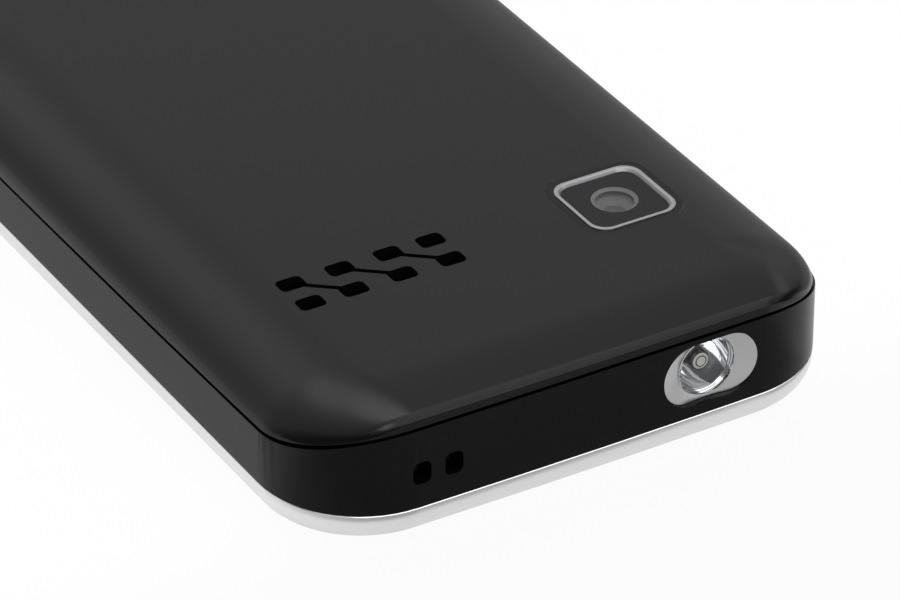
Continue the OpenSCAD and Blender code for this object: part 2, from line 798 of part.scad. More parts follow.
// Four-way ring that rocks on its pad, with the OK key in its middle
nav_lip_z = panel_back_z + nav_gap;
ok_gap = 0.25;
ok_lip = 0.4;
module nav_ring() color("#b8babf") {
    translate([0, nav_y, 0])
        difference() {
            union() {
                plate(nav_w, nav_w, nav_r, key_z, nav_lip_z + key_lip_t);
                plate(nav_w + 2 * nav_lip, nav_w + 2 * nav_lip, nav_r + nav_lip, nav_lip_z,
                    nav_lip_z + key_lip_t);
            }
            translate([0, 0, -cut])
                cylinder(r = ok_r + ok_gap, h = panel_back_z + 3 * cut);
            translate([0, 0, lip_back_z - ok_gap])
                cylinder(r = ok_r + ok_lip + ok_gap, h = panel_back_z);
        }
}

nav_pad_inset = 0.7;
nav_pad_w = nav_w - 2 * nav_pad_inset;
nav_pad_gap = 0.2;
nav_pad_z = nav_lip_z + key_lip_t + nav_pad_gap;
nav_pad_t = 0.35;
ok_stem_r = 1.5;
module nav_pad() color("#4a4b4f") {
    translate([0, nav_y, 0])
        difference() {
            plate(nav_pad_w, nav_pad_w, nav_r - nav_pad_inset, nav_pad_z, nav_pad_z + nav_pad_t);
            translate([0, 0, nav_pad_z - cut])
                cylinder(r = ok_stem_r + ok_gap, h = nav_pad_t + 2 * cut);
        }
}

module ok_key() color("#1a1b1e") {
    translate([0, nav_y, 0]) {
        intersection() {
            translate([0, 0, key_z - cut])
                cylinder(r = ok_r, h = lip_back_z + key_lip_t - key_z + cut);
            translate([0, 0, key_z + key_crown_r])
                sphere(key_crown_r, $fn = 180);
        }
        translate([0, 0, lip_back_z])
            cylinder(r = ok_r + ok_lip, h = key_lip_t);
        translate([0, 0, lip_back_z])
            cylinder(r = ok_stem_r, h = plunger_end_z - key_travel - lip_back_z);
    }
}

module keypad_mat() color("#5a5b60") {
    difference() {
        block(0, 2 * keypad_x, keypad_y0, keypad_y1, mat_z, mat_z + mat_t);
        translate([0, nav_y, 0])
            plate(nav_hole_w, nav_hole_w, nav_r + nav_lip + nav_gap, mat_z - cut, mat_z + mat_t + cut);
    }
    at_number_keys()
        mat_plunger();
    at_side_keys()
        mat_plunger();
}

module mat_plunger() {
    translate([0, 0, mat_z])
        cylinder(r = plunger_r, h = plunger_end_z - mat_z);
}

nav_dome_inset = 0.3;
nav_dome_r = nav_pad_w / 2 - dome_r + nav_dome_inset;
module dome_sheet() color("#d6d2c4") {
    block(0, 2 * keypad_x, keypad_y0, keypad_y1, dome_sheet_z, board_z);
    at_number_keys()
        dome();
    at_side_keys()
        dome();
    for (p = concat([[0, 0]], [for (a = [0:90:270]) nav_dome_r * [cos(a), sin(a)]]))
        translate([p.x, nav_y + p.y, 0])
            dome();
}

module dome() {
    translate([0, 0, dome_sheet_z - dome_h])
        cylinder(r1 = dome_top_r, r2 = dome_r, h = dome_h + eps);
}

board_gap = 0.4;
board_hole_gap = 0.15;
module main_board() color("#1d5a3a") {
    z0 = board_z - cut;
    z1 = board_back_z + cut;
    difference() {
        slab(frame_t + board_gap, board_z, board_back_z);
        block(torch_x, torch_pocket_w, y_top, torch_board_y + fit_gap, z0, z1);
        block(jack_x, jack_body_w + 2 * port_gap, jack_body_y0 - port_gap, y_bottom, z0, z1);
        at_screws()
            translate([0, 0, z0])
                cylinder(r = screw_r + board_hole_gap, h = board_t + 2 * cut);
    }
}

// Shield cans on the back of the circuit board, under the deck
shield_h = deck_z - board_back_z - 2 * fit_gap;
shield_inset = 4;
shield_y0 = battery_y0 + shield_inset;
shield_space = 4;
processor_w = 18;
processor_l = 26;
radio_w = 15;
radio_l = 20;
module shield(x, w, l) {
    block(x, w, shield_y0, shield_y0 + l, board_back_z, board_back_z + shield_h);
}

module processor_shield() color("#b4b7bb") {
    shield(-(shield_space + processor_w) / 2, processor_w, processor_l);
}

module radio_shield() color("#b4b7bb") shield((shield_space + radio_w) / 2, radio_w, radio_l);

battery_r = 1.2;
module battery() color("#26262a") {
    translate([0, (battery_y0 + battery_y1) / 2, 0])
        plate(battery_w, battery_l, battery_r, deck_top_z, deck_top_z + battery_t);
}

module battery_connector() color("#111113") {
    block(0, connector_w, connector_y0, connector_y0 + connector_l, deck_top_z, deck_top_z + connector_h);
}

// Three spring blades between the connector and the battery's end
contact_pitch = 2.6;
contact_w = 1.1;
contact_h = 2.2;
contact_z = deck_top_z + contact_l;
module battery_contacts() color("#c9a24a") {
    for (i = [-1:1])
        block(i * contact_pitch, contact_w, battery_y1, connector_y0, contact_z, contact_z + contact_h);
}

// Stamped card holder: a tray with a raised clip over its far half
module card_holder(x0, w) {
    x = x0 + w / 2;
    y1 = holder_y0 + holder_l;
    z1 = deck_top_z + holder_h;
    clip_y0 = y1 - holder_clip_l;
    block(x, w, holder_y0, y1, deck_top_z, deck_top_z + holder_sheet);
    for (s = [-1, 1])
        block(x + s * (w - holder_sheet) / 2, holder_sheet, clip_y0, y1, deck_top_z, z1);
    block(x, w, clip_y0, y1, z1 - holder_sheet, z1);
    block(x, w, y1 - holder_sheet, y1, deck_top_z, z1);
}

module sim_holder_1() color("#c4c6ca") card_holder(holders_x0, sim_w);

module sim_holder_2() color("#c4c6ca") card_holder(holders_x0 + sim_w + holder_space, sim_w);

module memory_card_holder() color("#c4c6ca") {
    card_holder(holders_x0 + 2 * (sim_w + holder_space), memory_w);
}

module antenna_carrier() color("#2c2d30") {
    translate([(antenna_x0 + antenna_x1) / 2, antenna_y0 + antenna_l / 2, 0])
        plate(antenna_x1 - antenna_x0, antenna_l, antenna_r, deck_top_z, deck_top_z + antenna_h);
}

motor_x = -2;
motor_from_top = 8.3;
motor_r = 4;
motor_h = 2.6;
module vibration_motor() color("#c0c3c8") {
    translate([motor_x, y_top + motor_from_top, deck_top_z])
        cylinder(r = motor_r, h = motor_h);
}

// Loudspeaker under the grille, sealed to the cover by a foam gasket
speaker_w = 17.4;
speaker_l = 10;
speaker_r = 2.5;
gasket_h = 0.7;
gasket_inset = 0.2;
gasket_wall = 1;
gasket_w = speaker_w - 2 * gasket_inset;
gasket_l = speaker_l - 2 * gasket_inset;
gasket_r = speaker_r - gasket_inset;
speaker_mesh_t = 0.15;
speaker_mesh_gap = 0.25;
gasket_z = cover_inner_z - speaker_mesh_gap - speaker_mesh_t - gasket_h;
module loudspeaker() color("#222326") {
    translate([grille_x, grille_y, 0])
        plate(speaker_w, speaker_l, speaker_r, deck_top_z, gasket_z);
}

module speaker_gasket() color("#0e0e0f") {
    translate([grille_x, grille_y, 0])
        difference() {
            plate(gasket_w, gasket_l, gasket_r, gasket_z, gasket_z + gasket_h);
            plate(gasket_w - 2 * gasket_wall, gasket_l - 2 * gasket_wall, gasket_r - gasket_wall,
                gasket_z - cut, gasket_z + gasket_h + cut);
        }
}

module speaker_mesh() color("#1b1b1c") {
    translate([grille_x, grille_y, 0])
        plate(gasket_w, gasket_l, gasket_r, gasket_z + gasket_h, gasket_z + gasket_h + speaker_mesh_t);
}

// Camera: module on the board, lens, square bezel and a window sunk in the bezel
bezel_drop = 0.05;
bezel_top_z = body_h - bezel_drop;
camera_window_z = bezel_top_z - window_sink - camera_window_t;
bezel_flange_t = 0.55;
bezel_flange_gap = 0.3;
bezel_flange_z = cover_inner_z - bezel_flange_gap - bezel_flange_t;
bezel_flange = 0.55;
bezel_flange_w = bezel_w + 2 * bezel_flange;
window_side = bezel_w - 2 * (bezel_face + bezel_slope);
window_corner = bezel_r - bezel_face;
window_seat = 0.45;
bezel_throat = window_side - 2 * window_seat;
camera_module_r = 0.4;
lens_wall = 0.6;
lens_depth = 0.7;
module camera_module() color("#1e1f22") {
    translate([camera_x, camera_y, 0])
        plate(bezel_w, bezel_w, camera_module_r, board_back_z, bezel_flange_z);
}

module camera_lens() color("#6b6d70") {
    rim = lens_r + lens_wall;
    h = camera_window_z - fit_gap - bezel_flange_z;
    floor_h = h - lens_depth;
    translate([camera_x, camera_y, bezel_flange_z])
        rotate_extrude()
            polygon([[0, 0], [rim, 0], [rim, h], [lens_r, h], [pupil_r, floor_h], [0, floor_h]]);
}

module camera_bezel() color("#a9abaf") {
    mouth = bezel_w - 2 * bezel_face;
    slope_h = window_sink + eps;
    translate([camera_x, camera_y, 0])
        difference() {
            union() {
                plate(bezel_w, bezel_w, bezel_r, bezel_flange_z, bezel_top_z);
                plate(bezel_flange_w, bezel_flange_w, bezel_r, bezel_flange_z,
                    bezel_flange_z + bezel_flange_t);
            }
            plate(bezel_throat, bezel_throat, window_corner - window_seat, bezel_flange_z - cut,
                bezel_top_z + cut);
            plate(window_side + 2 * fit_gap, window_side + 2 * fit_gap, window_corner, camera_window_z,
                camera_window_z + camera_window_t + eps);
            translate([0, 0, bezel_top_z - window_sink])
                linear_extrude(slope_h, scale = mouth / (window_side + 2 * fit_gap))
                    round_rect(window_side + 2 * fit_gap, window_side + 2 * fit_gap, window_corner);
        }
}

module camera_window() color("#17171a") {
    translate([camera_x, camera_y, 0])
        plate(window_side, window_side, window_corner - fit_gap, camera_window_z,
            camera_window_z + camera_window_t);
}

// Solid turned about the torch axis; its profile is [radius, depth] from the end face inwards
module torch_turned(y, profile) {
    translate([torch_x, y, torch_z])
        rotate([-90, 0, 0])
            rotate_extrude()
                polygon(profile);
}

module torch_bezel() color("#bfc1c4") {
    reach = torch_w / 2;
    dish_r = (reach * reach + torch_dish * torch_dish) / (2 * torch_dish);
    difference() {
        along_y(torch_x, torch_y, torch_z, torch_bezel_l)
            round_rect(torch_w, torch_h, torch_h / 2 - eps);
        translate([torch_x, torch_y + torch_dish - dish_r, torch_z])
            sphere(dish_r, $fn = 120);
        translate([torch_x, torch_y - cut, torch_z])
            rotate([-90, 0, 0])
                cylinder(r = torch_bore_r, h = torch_bezel_l + 2 * cut);
    }
}

module torch_lens() color("#dfe6ea") {
    r = torch_lens_d / 2;
    dome_r0 = (r * r + torch_dome_h * torch_dome_h) / (2 * torch_dome_h);
    translate([torch_x, torch_lens_y, torch_z])
        rotate([-90, 0, 0])
            cylinder(r = r, h = torch_lens_t);
    intersection() {
        translate([torch_x, torch_lens_y - torch_dome_h + dome_r0, torch_z])
            sphere(dome_r0, $fn = 90);
        translate([torch_x, torch_lens_y - torch_dome_h - cut, torch_z])
            rotate([-90, 0, 0])
                cylinder(r = r, h = torch_dome_h + cut + eps);
    }
}

// Bright bowl behind the lens, open at its floor for the LED
led_r = 0.8;
led_h = 0.9;
led_dome_h = 0.5;
led_gap = 0.1;
reflector_rim = 0.2;
reflector_steps = 6;
module torch_reflector() color("#d9dadc") {
    r = torch_lens_d / 2;
    mouth = r - reflector_rim;
    floor_r = led_r + led_gap;
    bowl = [for (i = [0:reflector_steps])
        let (t = i / reflector_steps)
        [mouth - (mouth - floor_r) * t * t, reflector_l * t]];
    torch_turned(reflector_y, concat([[r, reflector_l], [r, 0]], bowl));
}

module torch_led() color("#e8dd9a") {
    dome = [for (a = [0:15:90]) [led_r * sin(a), led_dome_h * (1 - cos(a))]];
    torch_turned(torch_board_y - led_h, concat(dome, [[led_r, led_h], [0, led_h]]));
}

module torch_board() color("#1d5a3a") {
    block(torch_x, torch_board_w, torch_board_y, torch_board_y + torch_board_t, board_back_z,
        torch_z + torch_h / 2);
}

module audio_jack() color("#1a1a1c") {
    difference() {
        union() {
            block(jack_x, jack_body_w, jack_body_y0, jack_body_y1, board_z, board_z + jack_body_h);
            along_y(jack_x, jack_body_y1 - eps, jack_z, jack_nose_l + eps)
                circle(jack_nose_r);
        }
        translate([jack_x, jack_mouth_y - jack_bore_l, jack_z])
            rotate([-90, 0, 0])
                cylinder(r = jack_bore_r, h = jack_bore_l + cut);
    }
}

module usb_socket() color("#b9bcc0") {
    y0 = y_bottom - usb_sink - usb_l;
    difference() {
        along_y(0, y0, usb_z, usb_l)
            round_rect(usb_w, usb_h, usb_r);
        along_y(0, y0 + usb_back, usb_z, usb_l)
            round_rect(usb_w - 2 * usb_wall, usb_h - 2 * usb_wall, usb_r - usb_wall);
    }
    block(0, usb_tongue_w, y0 + usb_back - eps, y0 + usb_l - usb_tongue_sink, usb_z, usb_z + usb_tongue_t);
}

module case_screws() color("#8d9095") {
    at_screws() {
        translate([0, 0, deck_top_z])
            difference() {
                cylinder(r = screw_head_r, h = screw_head_h);
                for (a = [0, 90])
                    rotate(a)
                        translate([-screw_slot_l / 2, -screw_slot_w / 2, screw_head_h - screw_slot_depth])
                            cube([screw_slot_l, screw_slot_w, screw_head_h]);
            }
        translate([0, 0, screw_end_z])
            cylinder(r = screw_r, h = deck_top_z - screw_end_z + eps);
    }
}

back_cover();
mid_frame();
front_frame();
front_panel();
display_window();
lcd_module();
earpiece();
earpiece_mesh();
microphone();
keypad_mat();
dome_sheet();
nav_ring();
nav_pad();
ok_key();
main_board();
processor_shield();
radio_shield();
battery();
battery_connector();
battery_contacts();
sim_holder_1();
sim_holder_2();
memory_card_holder();
antenna_carrier();
vibration_motor();
loudspeaker();
speaker_gasket();
speaker_mesh();
camera_module();
camera_lens();
camera_bezel();
camera_window();
torch_bezel();
torch_lens();
torch_reflector();
torch_led();
torch_board();
audio_jack();
usb_socket();
case_screws();
for (i = [0:len(KEY_NAMES) - 1])
    number_key(i);
for (i = [0:len(SIDE_KEY_NAMES) - 1])
    side_key(i);
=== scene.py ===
# Feature phone lying on its face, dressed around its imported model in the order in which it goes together.
import math

import bpy
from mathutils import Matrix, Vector


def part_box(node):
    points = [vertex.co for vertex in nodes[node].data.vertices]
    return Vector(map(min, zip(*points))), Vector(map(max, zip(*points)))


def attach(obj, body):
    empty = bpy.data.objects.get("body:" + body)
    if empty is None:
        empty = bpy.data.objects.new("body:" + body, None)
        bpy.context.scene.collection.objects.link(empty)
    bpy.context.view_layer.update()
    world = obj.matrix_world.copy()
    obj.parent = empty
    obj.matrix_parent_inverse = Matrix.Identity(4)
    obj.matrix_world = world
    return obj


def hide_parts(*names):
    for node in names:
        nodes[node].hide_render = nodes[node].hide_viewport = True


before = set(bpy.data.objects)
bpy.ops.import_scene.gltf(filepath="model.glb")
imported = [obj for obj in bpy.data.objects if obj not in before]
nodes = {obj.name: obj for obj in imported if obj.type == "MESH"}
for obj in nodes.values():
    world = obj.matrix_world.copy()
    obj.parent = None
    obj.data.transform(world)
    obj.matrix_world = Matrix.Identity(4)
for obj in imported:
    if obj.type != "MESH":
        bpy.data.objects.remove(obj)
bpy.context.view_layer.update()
MM = 0.001
bpy.ops.object.select_all(action="DESELECT")
scene = bpy.context.scene
scene.view_settings.view_transform = "Standard"

# Table
# A white sheet that fills the picture and takes a faint shadow from the phone. The phone's shiny faces see a
# painted glow on it, bright close by and beside the right corner, and dim further off. Its colour is painted
# greyer in front of the phone, and in reflections far to the right, as painted shade where a sheet falls away
# from the light.
TABLE_SIZE = 8.0
TABLE_WHITE = (0.86, 0.86, 0.86, 1)
# The greys below are painted shade, and the glow is painted light that only reflections see.
TABLE_PAINTED_SHADE = (0.42, 0.42, 0.42, 1)
PURE_WHITE = (1, 1, 1, 1)
PAINTED_SHADE_TO_WHITE_Y = (-0.062, -0.046)
TABLE_SHOWN = 0.95
TABLE_IN_GLOSS = 0.02
GLOW_BOX = (0.016, 0.0495, 0)
GLOW_FADE = (0.011, 0.0125)
GLOW_IN_GLOSS = 0.64
GLOW_RIGHT = 0.55
GLOW_RIGHT_X = (0.0262, 0.0285)
FAR_RIGHT_X = (0.0295, 0.0315)
FAR_RIGHT_Y = (-0.043, -0.036)
FAR_RIGHT_PAINTED_SHADE = (0.3, 0.3, 0.3, 1)
MIX_COLOUR_A = 6
MIX_COLOUR_B = 7
MIX_COLOUR_OUT = 2


def new_material(name):
    """An empty material and its node tree."""
    material = bpy.data.materials.new(name)
    material.use_nodes = True
    material.node_tree.nodes.clear()
    return material, material.node_tree


def feed(tree, socket, value):
    """Link a value to a socket, or set a plain number, vector or colour on it."""
    if isinstance(value, bpy.types.NodeSocket):
        tree.links.new(value, socket)
    else:
        socket.default_value = value


def value_step(tree, operation, *values):
    """One step of sums on values."""
    step = tree.nodes.new("ShaderNodeMath")
    step.operation = operation
    for socket, value in zip(step.inputs, values):
        feed(tree, socket, value)
    return step.outputs[0]


def product(tree, first, second):
    return value_step(tree, "MULTIPLY", first, second)


def vector_step(tree, operation, *vectors):
    """One step of sums on vectors."""
    step = tree.nodes.new("ShaderNodeVectorMath")
    step.operation = operation
    for socket, vector in zip(step.inputs, vectors):
        feed(tree, socket, vector)
    return step.outputs["Value" if operation in ("LENGTH", "DOT_PRODUCT") else "Vector"]


def axes_of(tree, vector):
    split = tree.nodes.new("ShaderNodeSeparateXYZ")
    tree.links.new(vector, split.inputs[0])
    return split.outputs


def ramp(tree, value, start, end, at_start=0, at_end=1):
    """A smooth change of level while a value goes from start to end."""
    step = tree.nodes.new("ShaderNodeMapRange")
    step.interpolation_type = "SMOOTHSTEP"
    step.inputs["From Min"].default_value = start
    step.inputs["From Max"].default_value = end
    step.inputs["To Min"].default_value = at_start
    step.inputs["To Max"].default_value = at_end
    tree.links.new(value, step.inputs["Value"])
    return step.outputs[0]


def blended(tree, share, first, second):
    """A second colour over a first one, by a share."""
    mix = tree.nodes.new("ShaderNodeMix")
    mix.data_type = "RGBA"
    feed(tree, mix.inputs["Factor"], share)
    feed(tree, mix.inputs[MIX_COLOUR_A], first)
    feed(tree, mix.inputs[MIX_COLOUR_B], second)
    return mix.outputs[MIX_COLOUR_OUT]


def shaders_mixed(tree, share, first, second):
    mix = tree.nodes.new("ShaderNodeMixShader")
    for socket, source in zip(mix.inputs, (share, first.outputs[0], second.outputs[0])):
        tree.links.new(source, socket)
    return mix


def to_surface(tree, shader, output="ShaderNodeOutputMaterial"):
    """Lead a shader to the tree's output."""
    out = tree.nodes.new(output)
    tree.links.new(shader.outputs[0], out.inputs["Surface"])


bpy.ops.mesh.primitive_plane_add(size=TABLE_SIZE)
table = bpy.context.object
table.name = "table_top"
white_sheet, tree = new_material("white_sheet")
path = tree.nodes.new("ShaderNodeLightPath").outputs
place = tree.nodes.new("ShaderNodeTexCoord").outputs["Object"]
sides = axes_of(tree, place)
in_gloss = value_step(tree, "MAXIMUM", path["Is Glossy Ray"], path["Is Transmission Ray"])
# Painted glow: the sheet gives off light in reflections only, near the phone and beside its right corner.
beyond = vector_step(tree, "SUBTRACT", vector_step(tree, "ABSOLUTE", place), GLOW_BOX)
distance = vector_step(tree, "LENGTH", vector_step(tree, "MAXIMUM", beyond, (0, 0, 0)))
close_by = ramp(tree, distance, *GLOW_FADE, GLOW_IN_GLOSS, TABLE_IN_GLOSS)
far_right = product(tree, ramp(tree, sides["X"], *FAR_RIGHT_X), ramp(tree, sides["Y"], *FAR_RIGHT_Y))
right_side = ramp(tree, sides["X"], *GLOW_RIGHT_X, 0, GLOW_RIGHT)
right_corner = value_step(tree, "SUBTRACT", right_side, far_right)
glow = value_step(tree, "MAXIMUM", close_by, right_corner)
shown_share = product(tree, path["Is Camera Ray"], TABLE_SHOWN)
share = value_step(tree, "MAXIMUM", shown_share, product(tree, in_gloss, glow))
# Painted shade: the paper goes grey in front of the phone, and grey far to the right in reflections.
tint = blended(tree, ramp(tree, sides["Y"], *PAINTED_SHADE_TO_WHITE_Y), TABLE_PAINTED_SHADE, TABLE_WHITE)
tint = blended(tree, product(tree, in_gloss, far_right), tint, FAR_RIGHT_PAINTED_SHADE)
paper = tree.nodes.new("ShaderNodeBsdfDiffuse")
tree.links.new(tint, paper.inputs["Color"])
white = tree.nodes.new("ShaderNodeEmission")
white.inputs["Color"].default_value = PURE_WHITE
to_surface(tree, shaders_mixed(tree, share, paper, white))
table.data.materials.append(white_sheet)

# Studio light
# A white dome with a large soft box overhead, a brighter strip behind the phone and a box on the right. It is
# dim in front, with two small lamps, one overhead and one beside the camera. A weak light comes from under
# the table, so that the phone's front can be seen.
DOME_LEFT = 0.72
DOME_MIDDLE = 0.66
DOME_RIGHT_SHARE = 0.7
LEFT_TO_MIDDLE = (-0.55, 0.45)
MIDDLE_TO_RIGHT = (0.45, 0.75)
STRIP_LIGHT = 0.5
STRIP_RISE = (-0.6, -0.05)
STRIP_FALL = (-0.05, 0.3)
STRIP_HEIGHT = (0.35, 0.6)
FRONT_SHARE = 0.15
FRONT_FADE = (0.25, 0.7)
BACK_SIDE = (0, 0.9, 0.5)
OVERHEAD_LIGHT = 1.6
OVERHEAD_LEFT_SHARE = 0.4
OVERHEAD_SPAN = (-0.6, 0)
OVERHEAD_SIDE = (0, -0.35, 1)
OVERHEAD_EDGE = (0.6, 0.76)
RIGHT_LOW_DIM = 0.2
RIGHT_LOW_X = (0.4, 0.6)
RIGHT_LOW_Z = (0, 0.25)
RIGHT_BOX = 0.9
RIGHT_BOX_X = (0.62, 0.78)
RIGHT_BOX_Z = (0.22, 0.38)
UNDER_LIGHT = 0.5
UNDER_Z = (-0.35, -0.15)
LAMPS = (((0.06, 0.42, 0.905), (0.94, 0.985), 1.0), ((-0.37, -0.71, 0.6), (0.985, 0.995), 3.0))
MIX_VALUE_A = 2
MIX_VALUE_B = 3

world = bpy.data.worlds.new("studio_dome")
scene.world = world
world.use_nodes = True
sky = world.node_tree
sky.nodes.clear()
outward = sky.nodes.new("ShaderNodeTexCoord").outputs["Generated"]
axes = axes_of(sky, outward)


def dome_x(span, at_start, at_end):
    return ramp(sky, axes["X"], *span, at_start, at_end)


def dome_z(span, at_start=0, at_end=1):
    return ramp(sky, axes["Z"], *span, at_start, at_end)


def towards(direction, span, at_start=0, at_end=1):
    return ramp(sky, vector_step(sky, "DOT_PRODUCT", outward, direction), *span, at_start, at_end)


horizon = product(sky, dome_x(LEFT_TO_MIDDLE, DOME_LEFT, DOME_MIDDLE),
                  dome_x(MIDDLE_TO_RIGHT, 1, DOME_RIGHT_SHARE))
strip = product(sky, dome_x(STRIP_RISE, 0, STRIP_LIGHT), dome_x(STRIP_FALL, 1, 0))
strip = product(sky, strip, dome_z(STRIP_HEIGHT))
low_right = product(sky, dome_x(RIGHT_LOW_X, 0, RIGHT_LOW_DIM), dome_z(RIGHT_LOW_Z, 1, 0))
around = product(sky, value_step(sky, "ADD", horizon, strip), ramp(sky, low_right, 0, 1, 1, 0))
overhead = dome_x(OVERHEAD_SPAN, OVERHEAD_LIGHT * OVERHEAD_LEFT_SHARE, OVERHEAD_LIGHT)
level = sky.nodes.new("ShaderNodeMix")
sky.links.new(towards(OVERHEAD_SIDE, OVERHEAD_EDGE), level.inputs["Factor"])
sky.links.new(product(sky, around, towards(BACK_SIDE, FRONT_FADE, FRONT_SHARE)), level.inputs[MIX_VALUE_A])
sky.links.new(overhead, level.inputs[MIX_VALUE_B])
right_box = product(sky, dome_x(RIGHT_BOX_X, 0, RIGHT_BOX), dome_z(RIGHT_BOX_Z))
light = value_step(sky, "MAXIMUM", level.outputs[0], right_box)
for direction, span, strength in LAMPS:
    light = value_step(sky, "ADD", light, towards(direction, span, 0, strength))
light = value_step(sky, "ADD", light, dome_z(UNDER_Z, UNDER_LIGHT, 0))
dome = sky.nodes.new("ShaderNodeBackground")
dome.inputs["Color"].default_value = PURE_WHITE
sky.links.new(light, dome.inputs["Strength"])
backdrop = sky.nodes.new("ShaderNodeBackground")
backdrop.inputs["Color"].default_value = PURE_WHITE
to_eye = sky.nodes.new("ShaderNodeLightPath").outputs["Is Camera Ray"]
to_surface(sky, shaders_mixed(sky, to_eye, dome, backdrop), "ShaderNodeOutputWorld")

# Viewpoint
# A camera with a long lens looks down on the back and the top end from the left. It stands so close that the
# phone's far end runs out of the picture.
VIEW_TARGET = Vector((2.905, -31.216, 1.0)) * MM
VIEW_AZIMUTH = math.radians(-30.472)
VIEW_ELEVATION = math.radians(32.712)
VIEW_DISTANCE = 477.78 * MM
FOCAL_MM = 231.4
SENSOR_MM = 36.0
NEAR_CLIP = 10 * MM

view_back = Vector((math.sin(VIEW_AZIMUTH) * math.cos(VIEW_ELEVATION),
                    -math.cos(VIEW_AZIMUTH) * math.cos(VIEW_ELEVATION), math.sin(VIEW_ELEVATION)))
optics = bpy.data.cameras.new("photo_view")
optics.sensor_fit = "HORIZONTAL"
optics.sensor_width = SENSOR_MM
optics.lens = FOCAL_MM
optics.clip_start = NEAR_CLIP
camera = bpy.data.objects.new("photo_view", optics)
scene.collection.objects.link(camera)
camera.location = VIEW_TARGET + view_back * VIEW_DISTANCE
camera.rotation_euler = (-view_back).to_track_quat("-Z", "Y").to_euler()
scene.camera = camera

# Front frame
# The silver rim that carries the front panel: plastic with bright plating. A fine bevel runs along its upper
# edge, where it meets the black band, and screws from behind hold it to the mid frame.
RIM_SILVER = (0.85, 0.85, 0.86)
RIM_EDGE_MM = 0.05
RIM_EDGE_ANGLE = math.radians(30)
EDGE_ANGLE = math.radians(35)
EDGE_MERGE = 1e-6
FLAT_ANGLE = math.radians(0.3)
FLAT_WEIGHT = 80
GRAIN_DETAIL = 3
CLOUD_DETAIL = 5
GRAIN_DEPTH = 0.25
GLOSS_RANGE = 0.08


def grain_group():
    """Fine grain for relief and gloss, and a broad cloud for tone, both in the piece's own place."""
    group = bpy.data.node_groups.new("surface_grain", "ShaderNodeTree")
    for name, kind in (("Grain Scale", "Float"), ("Cloud Scale", "Float"), ("Stretch", "Vector")):
        group.interface.new_socket(name, in_out="INPUT", socket_type="NodeSocket" + kind)
    for name in ("Grain", "Cloud"):
        group.interface.new_socket(name, in_out="OUTPUT", socket_type="NodeSocketFloat")
    start = group.nodes.new("NodeGroupInput")
    end = group.nodes.new("NodeGroupOutput")
    place = group.nodes.new("ShaderNodeTexCoord").outputs["Object"]
    stretched = vector_step(group, "MULTIPLY", place, start.outputs["Stretch"])
    for output, detail in (("Grain", GRAIN_DETAIL), ("Cloud", CLOUD_DETAIL)):
        noise = group.nodes.new("ShaderNodeTexNoise")
        noise.inputs["Detail"].default_value = detail
        group.links.new(stretched, noise.inputs["Vector"])
        group.links.new(start.outputs[output + " Scale"], noise.inputs["Scale"])
        group.links.new(noise.outputs["Fac"], end.inputs[output])
    return group


grain = grain_group()


def finish(name, colour, roughness, metallic=0.0, ior=1.45, grain_mm=0.09, relief=0.12, cloud=0.1,
           cloud_scale=140.0, stretch=(1, 1, 1), coat=0.0):
    """A surface whose tone drifts slowly, with a fine grain in its gloss and relief."""
    made, tree = new_material(name)
    shade = tree.nodes.new("ShaderNodeBsdfPrincipled")
    shade.inputs["Metallic"].default_value = metallic
    shade.inputs["IOR"].default_value = ior
    shade.inputs["Coat Weight"].default_value = coat
    pattern = tree.nodes.new("ShaderNodeGroup")
    pattern.node_tree = grain
    pattern.inputs["Grain Scale"].default_value = 1 / (grain_mm * MM)
    pattern.inputs["Cloud Scale"].default_value = cloud_scale
    pattern.inputs["Stretch"].default_value = stretch
    darker = tuple(c * (1 - cloud) for c in colour) + (1,)
    lighter = tuple(min(1, c * (1 + cloud)) for c in colour) + (1,)
    tone = blended(tree, pattern.outputs["Cloud"], darker, lighter)
    tree.links.new(tone, shade.inputs["Base Color"])
    gloss = tree.nodes.new("ShaderNodeMapRange")
    gloss.inputs["To Min"].default_value = roughness * (1 - GLOSS_RANGE)
    gloss.inputs["To Max"].default_value = roughness * (1 + GLOSS_RANGE)
    tree.links.new(pattern.outputs["Grain"], gloss.inputs["Value"])
    tree.links.new(gloss.outputs[0], shade.inputs["Roughness"])
    bump = tree.nodes.new("ShaderNodeBump")
    bump.inputs["Strength"].default_value = relief
    bump.inputs["Distance"].default_value = grain_mm * MM * GRAIN_DEPTH
    tree.links.new(pattern.outputs["Grain"], bump.inputs["Height"])
    tree.links.new(bump.outputs[0], shade.inputs["Normal"])
    to_surface(tree, shade)
    return made


def pick(piece):
    bpy.ops.object.select_all(action="DESELECT")
    piece.select_set(True)
    bpy.context.view_layer.objects.active = piece


def settle(piece, body, material):
    """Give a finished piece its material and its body."""
    piece.data.materials.clear()
    piece.data.materials.append(material)
    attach(piece, body)


def broken_edges(node, body, material, width_mm, segments=2, angle=EDGE_ANGLE):
    """A copy of a solid with its sharp edges rounded over, to stand for that solid."""
    mesh = nodes[node].data.copy()
    piece = bpy.data.objects.new(node + "_finished", mesh)
    scene.collection.objects.link(piece)
    pick(piece)
    bpy.ops.mesh.customdata_custom_splitnormals_clear()
    bpy.ops.object.mode_set(mode="EDIT")
    bpy.ops.mesh.select_all(action="SELECT")
    bpy.ops.mesh.remove_doubles(threshold=EDGE_MERGE)
    bpy.ops.mesh.dissolve_limited(angle_limit=FLAT_ANGLE)
    bpy.ops.object.mode_set(mode="OBJECT")
    bevel = piece.modifiers.new("edges", "BEVEL")
    bevel.limit_method = "ANGLE"
    bevel.angle_limit = angle
    bevel.width = width_mm * MM
    bevel.segments = segments
    bpy.ops.object.modifier_apply(modifier="edges")
    bpy.ops.object.shade_smooth_by_angle(angle=angle)
    flats = piece.modifiers.new("flats", "WEIGHTED_NORMAL")
    flats.keep_sharp = True
    flats.weight = FLAT_WEIGHT
    bpy.ops.object.modifier_apply(modifier="flats")
    settle(piece, body, material)
    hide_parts(node)
    return piece


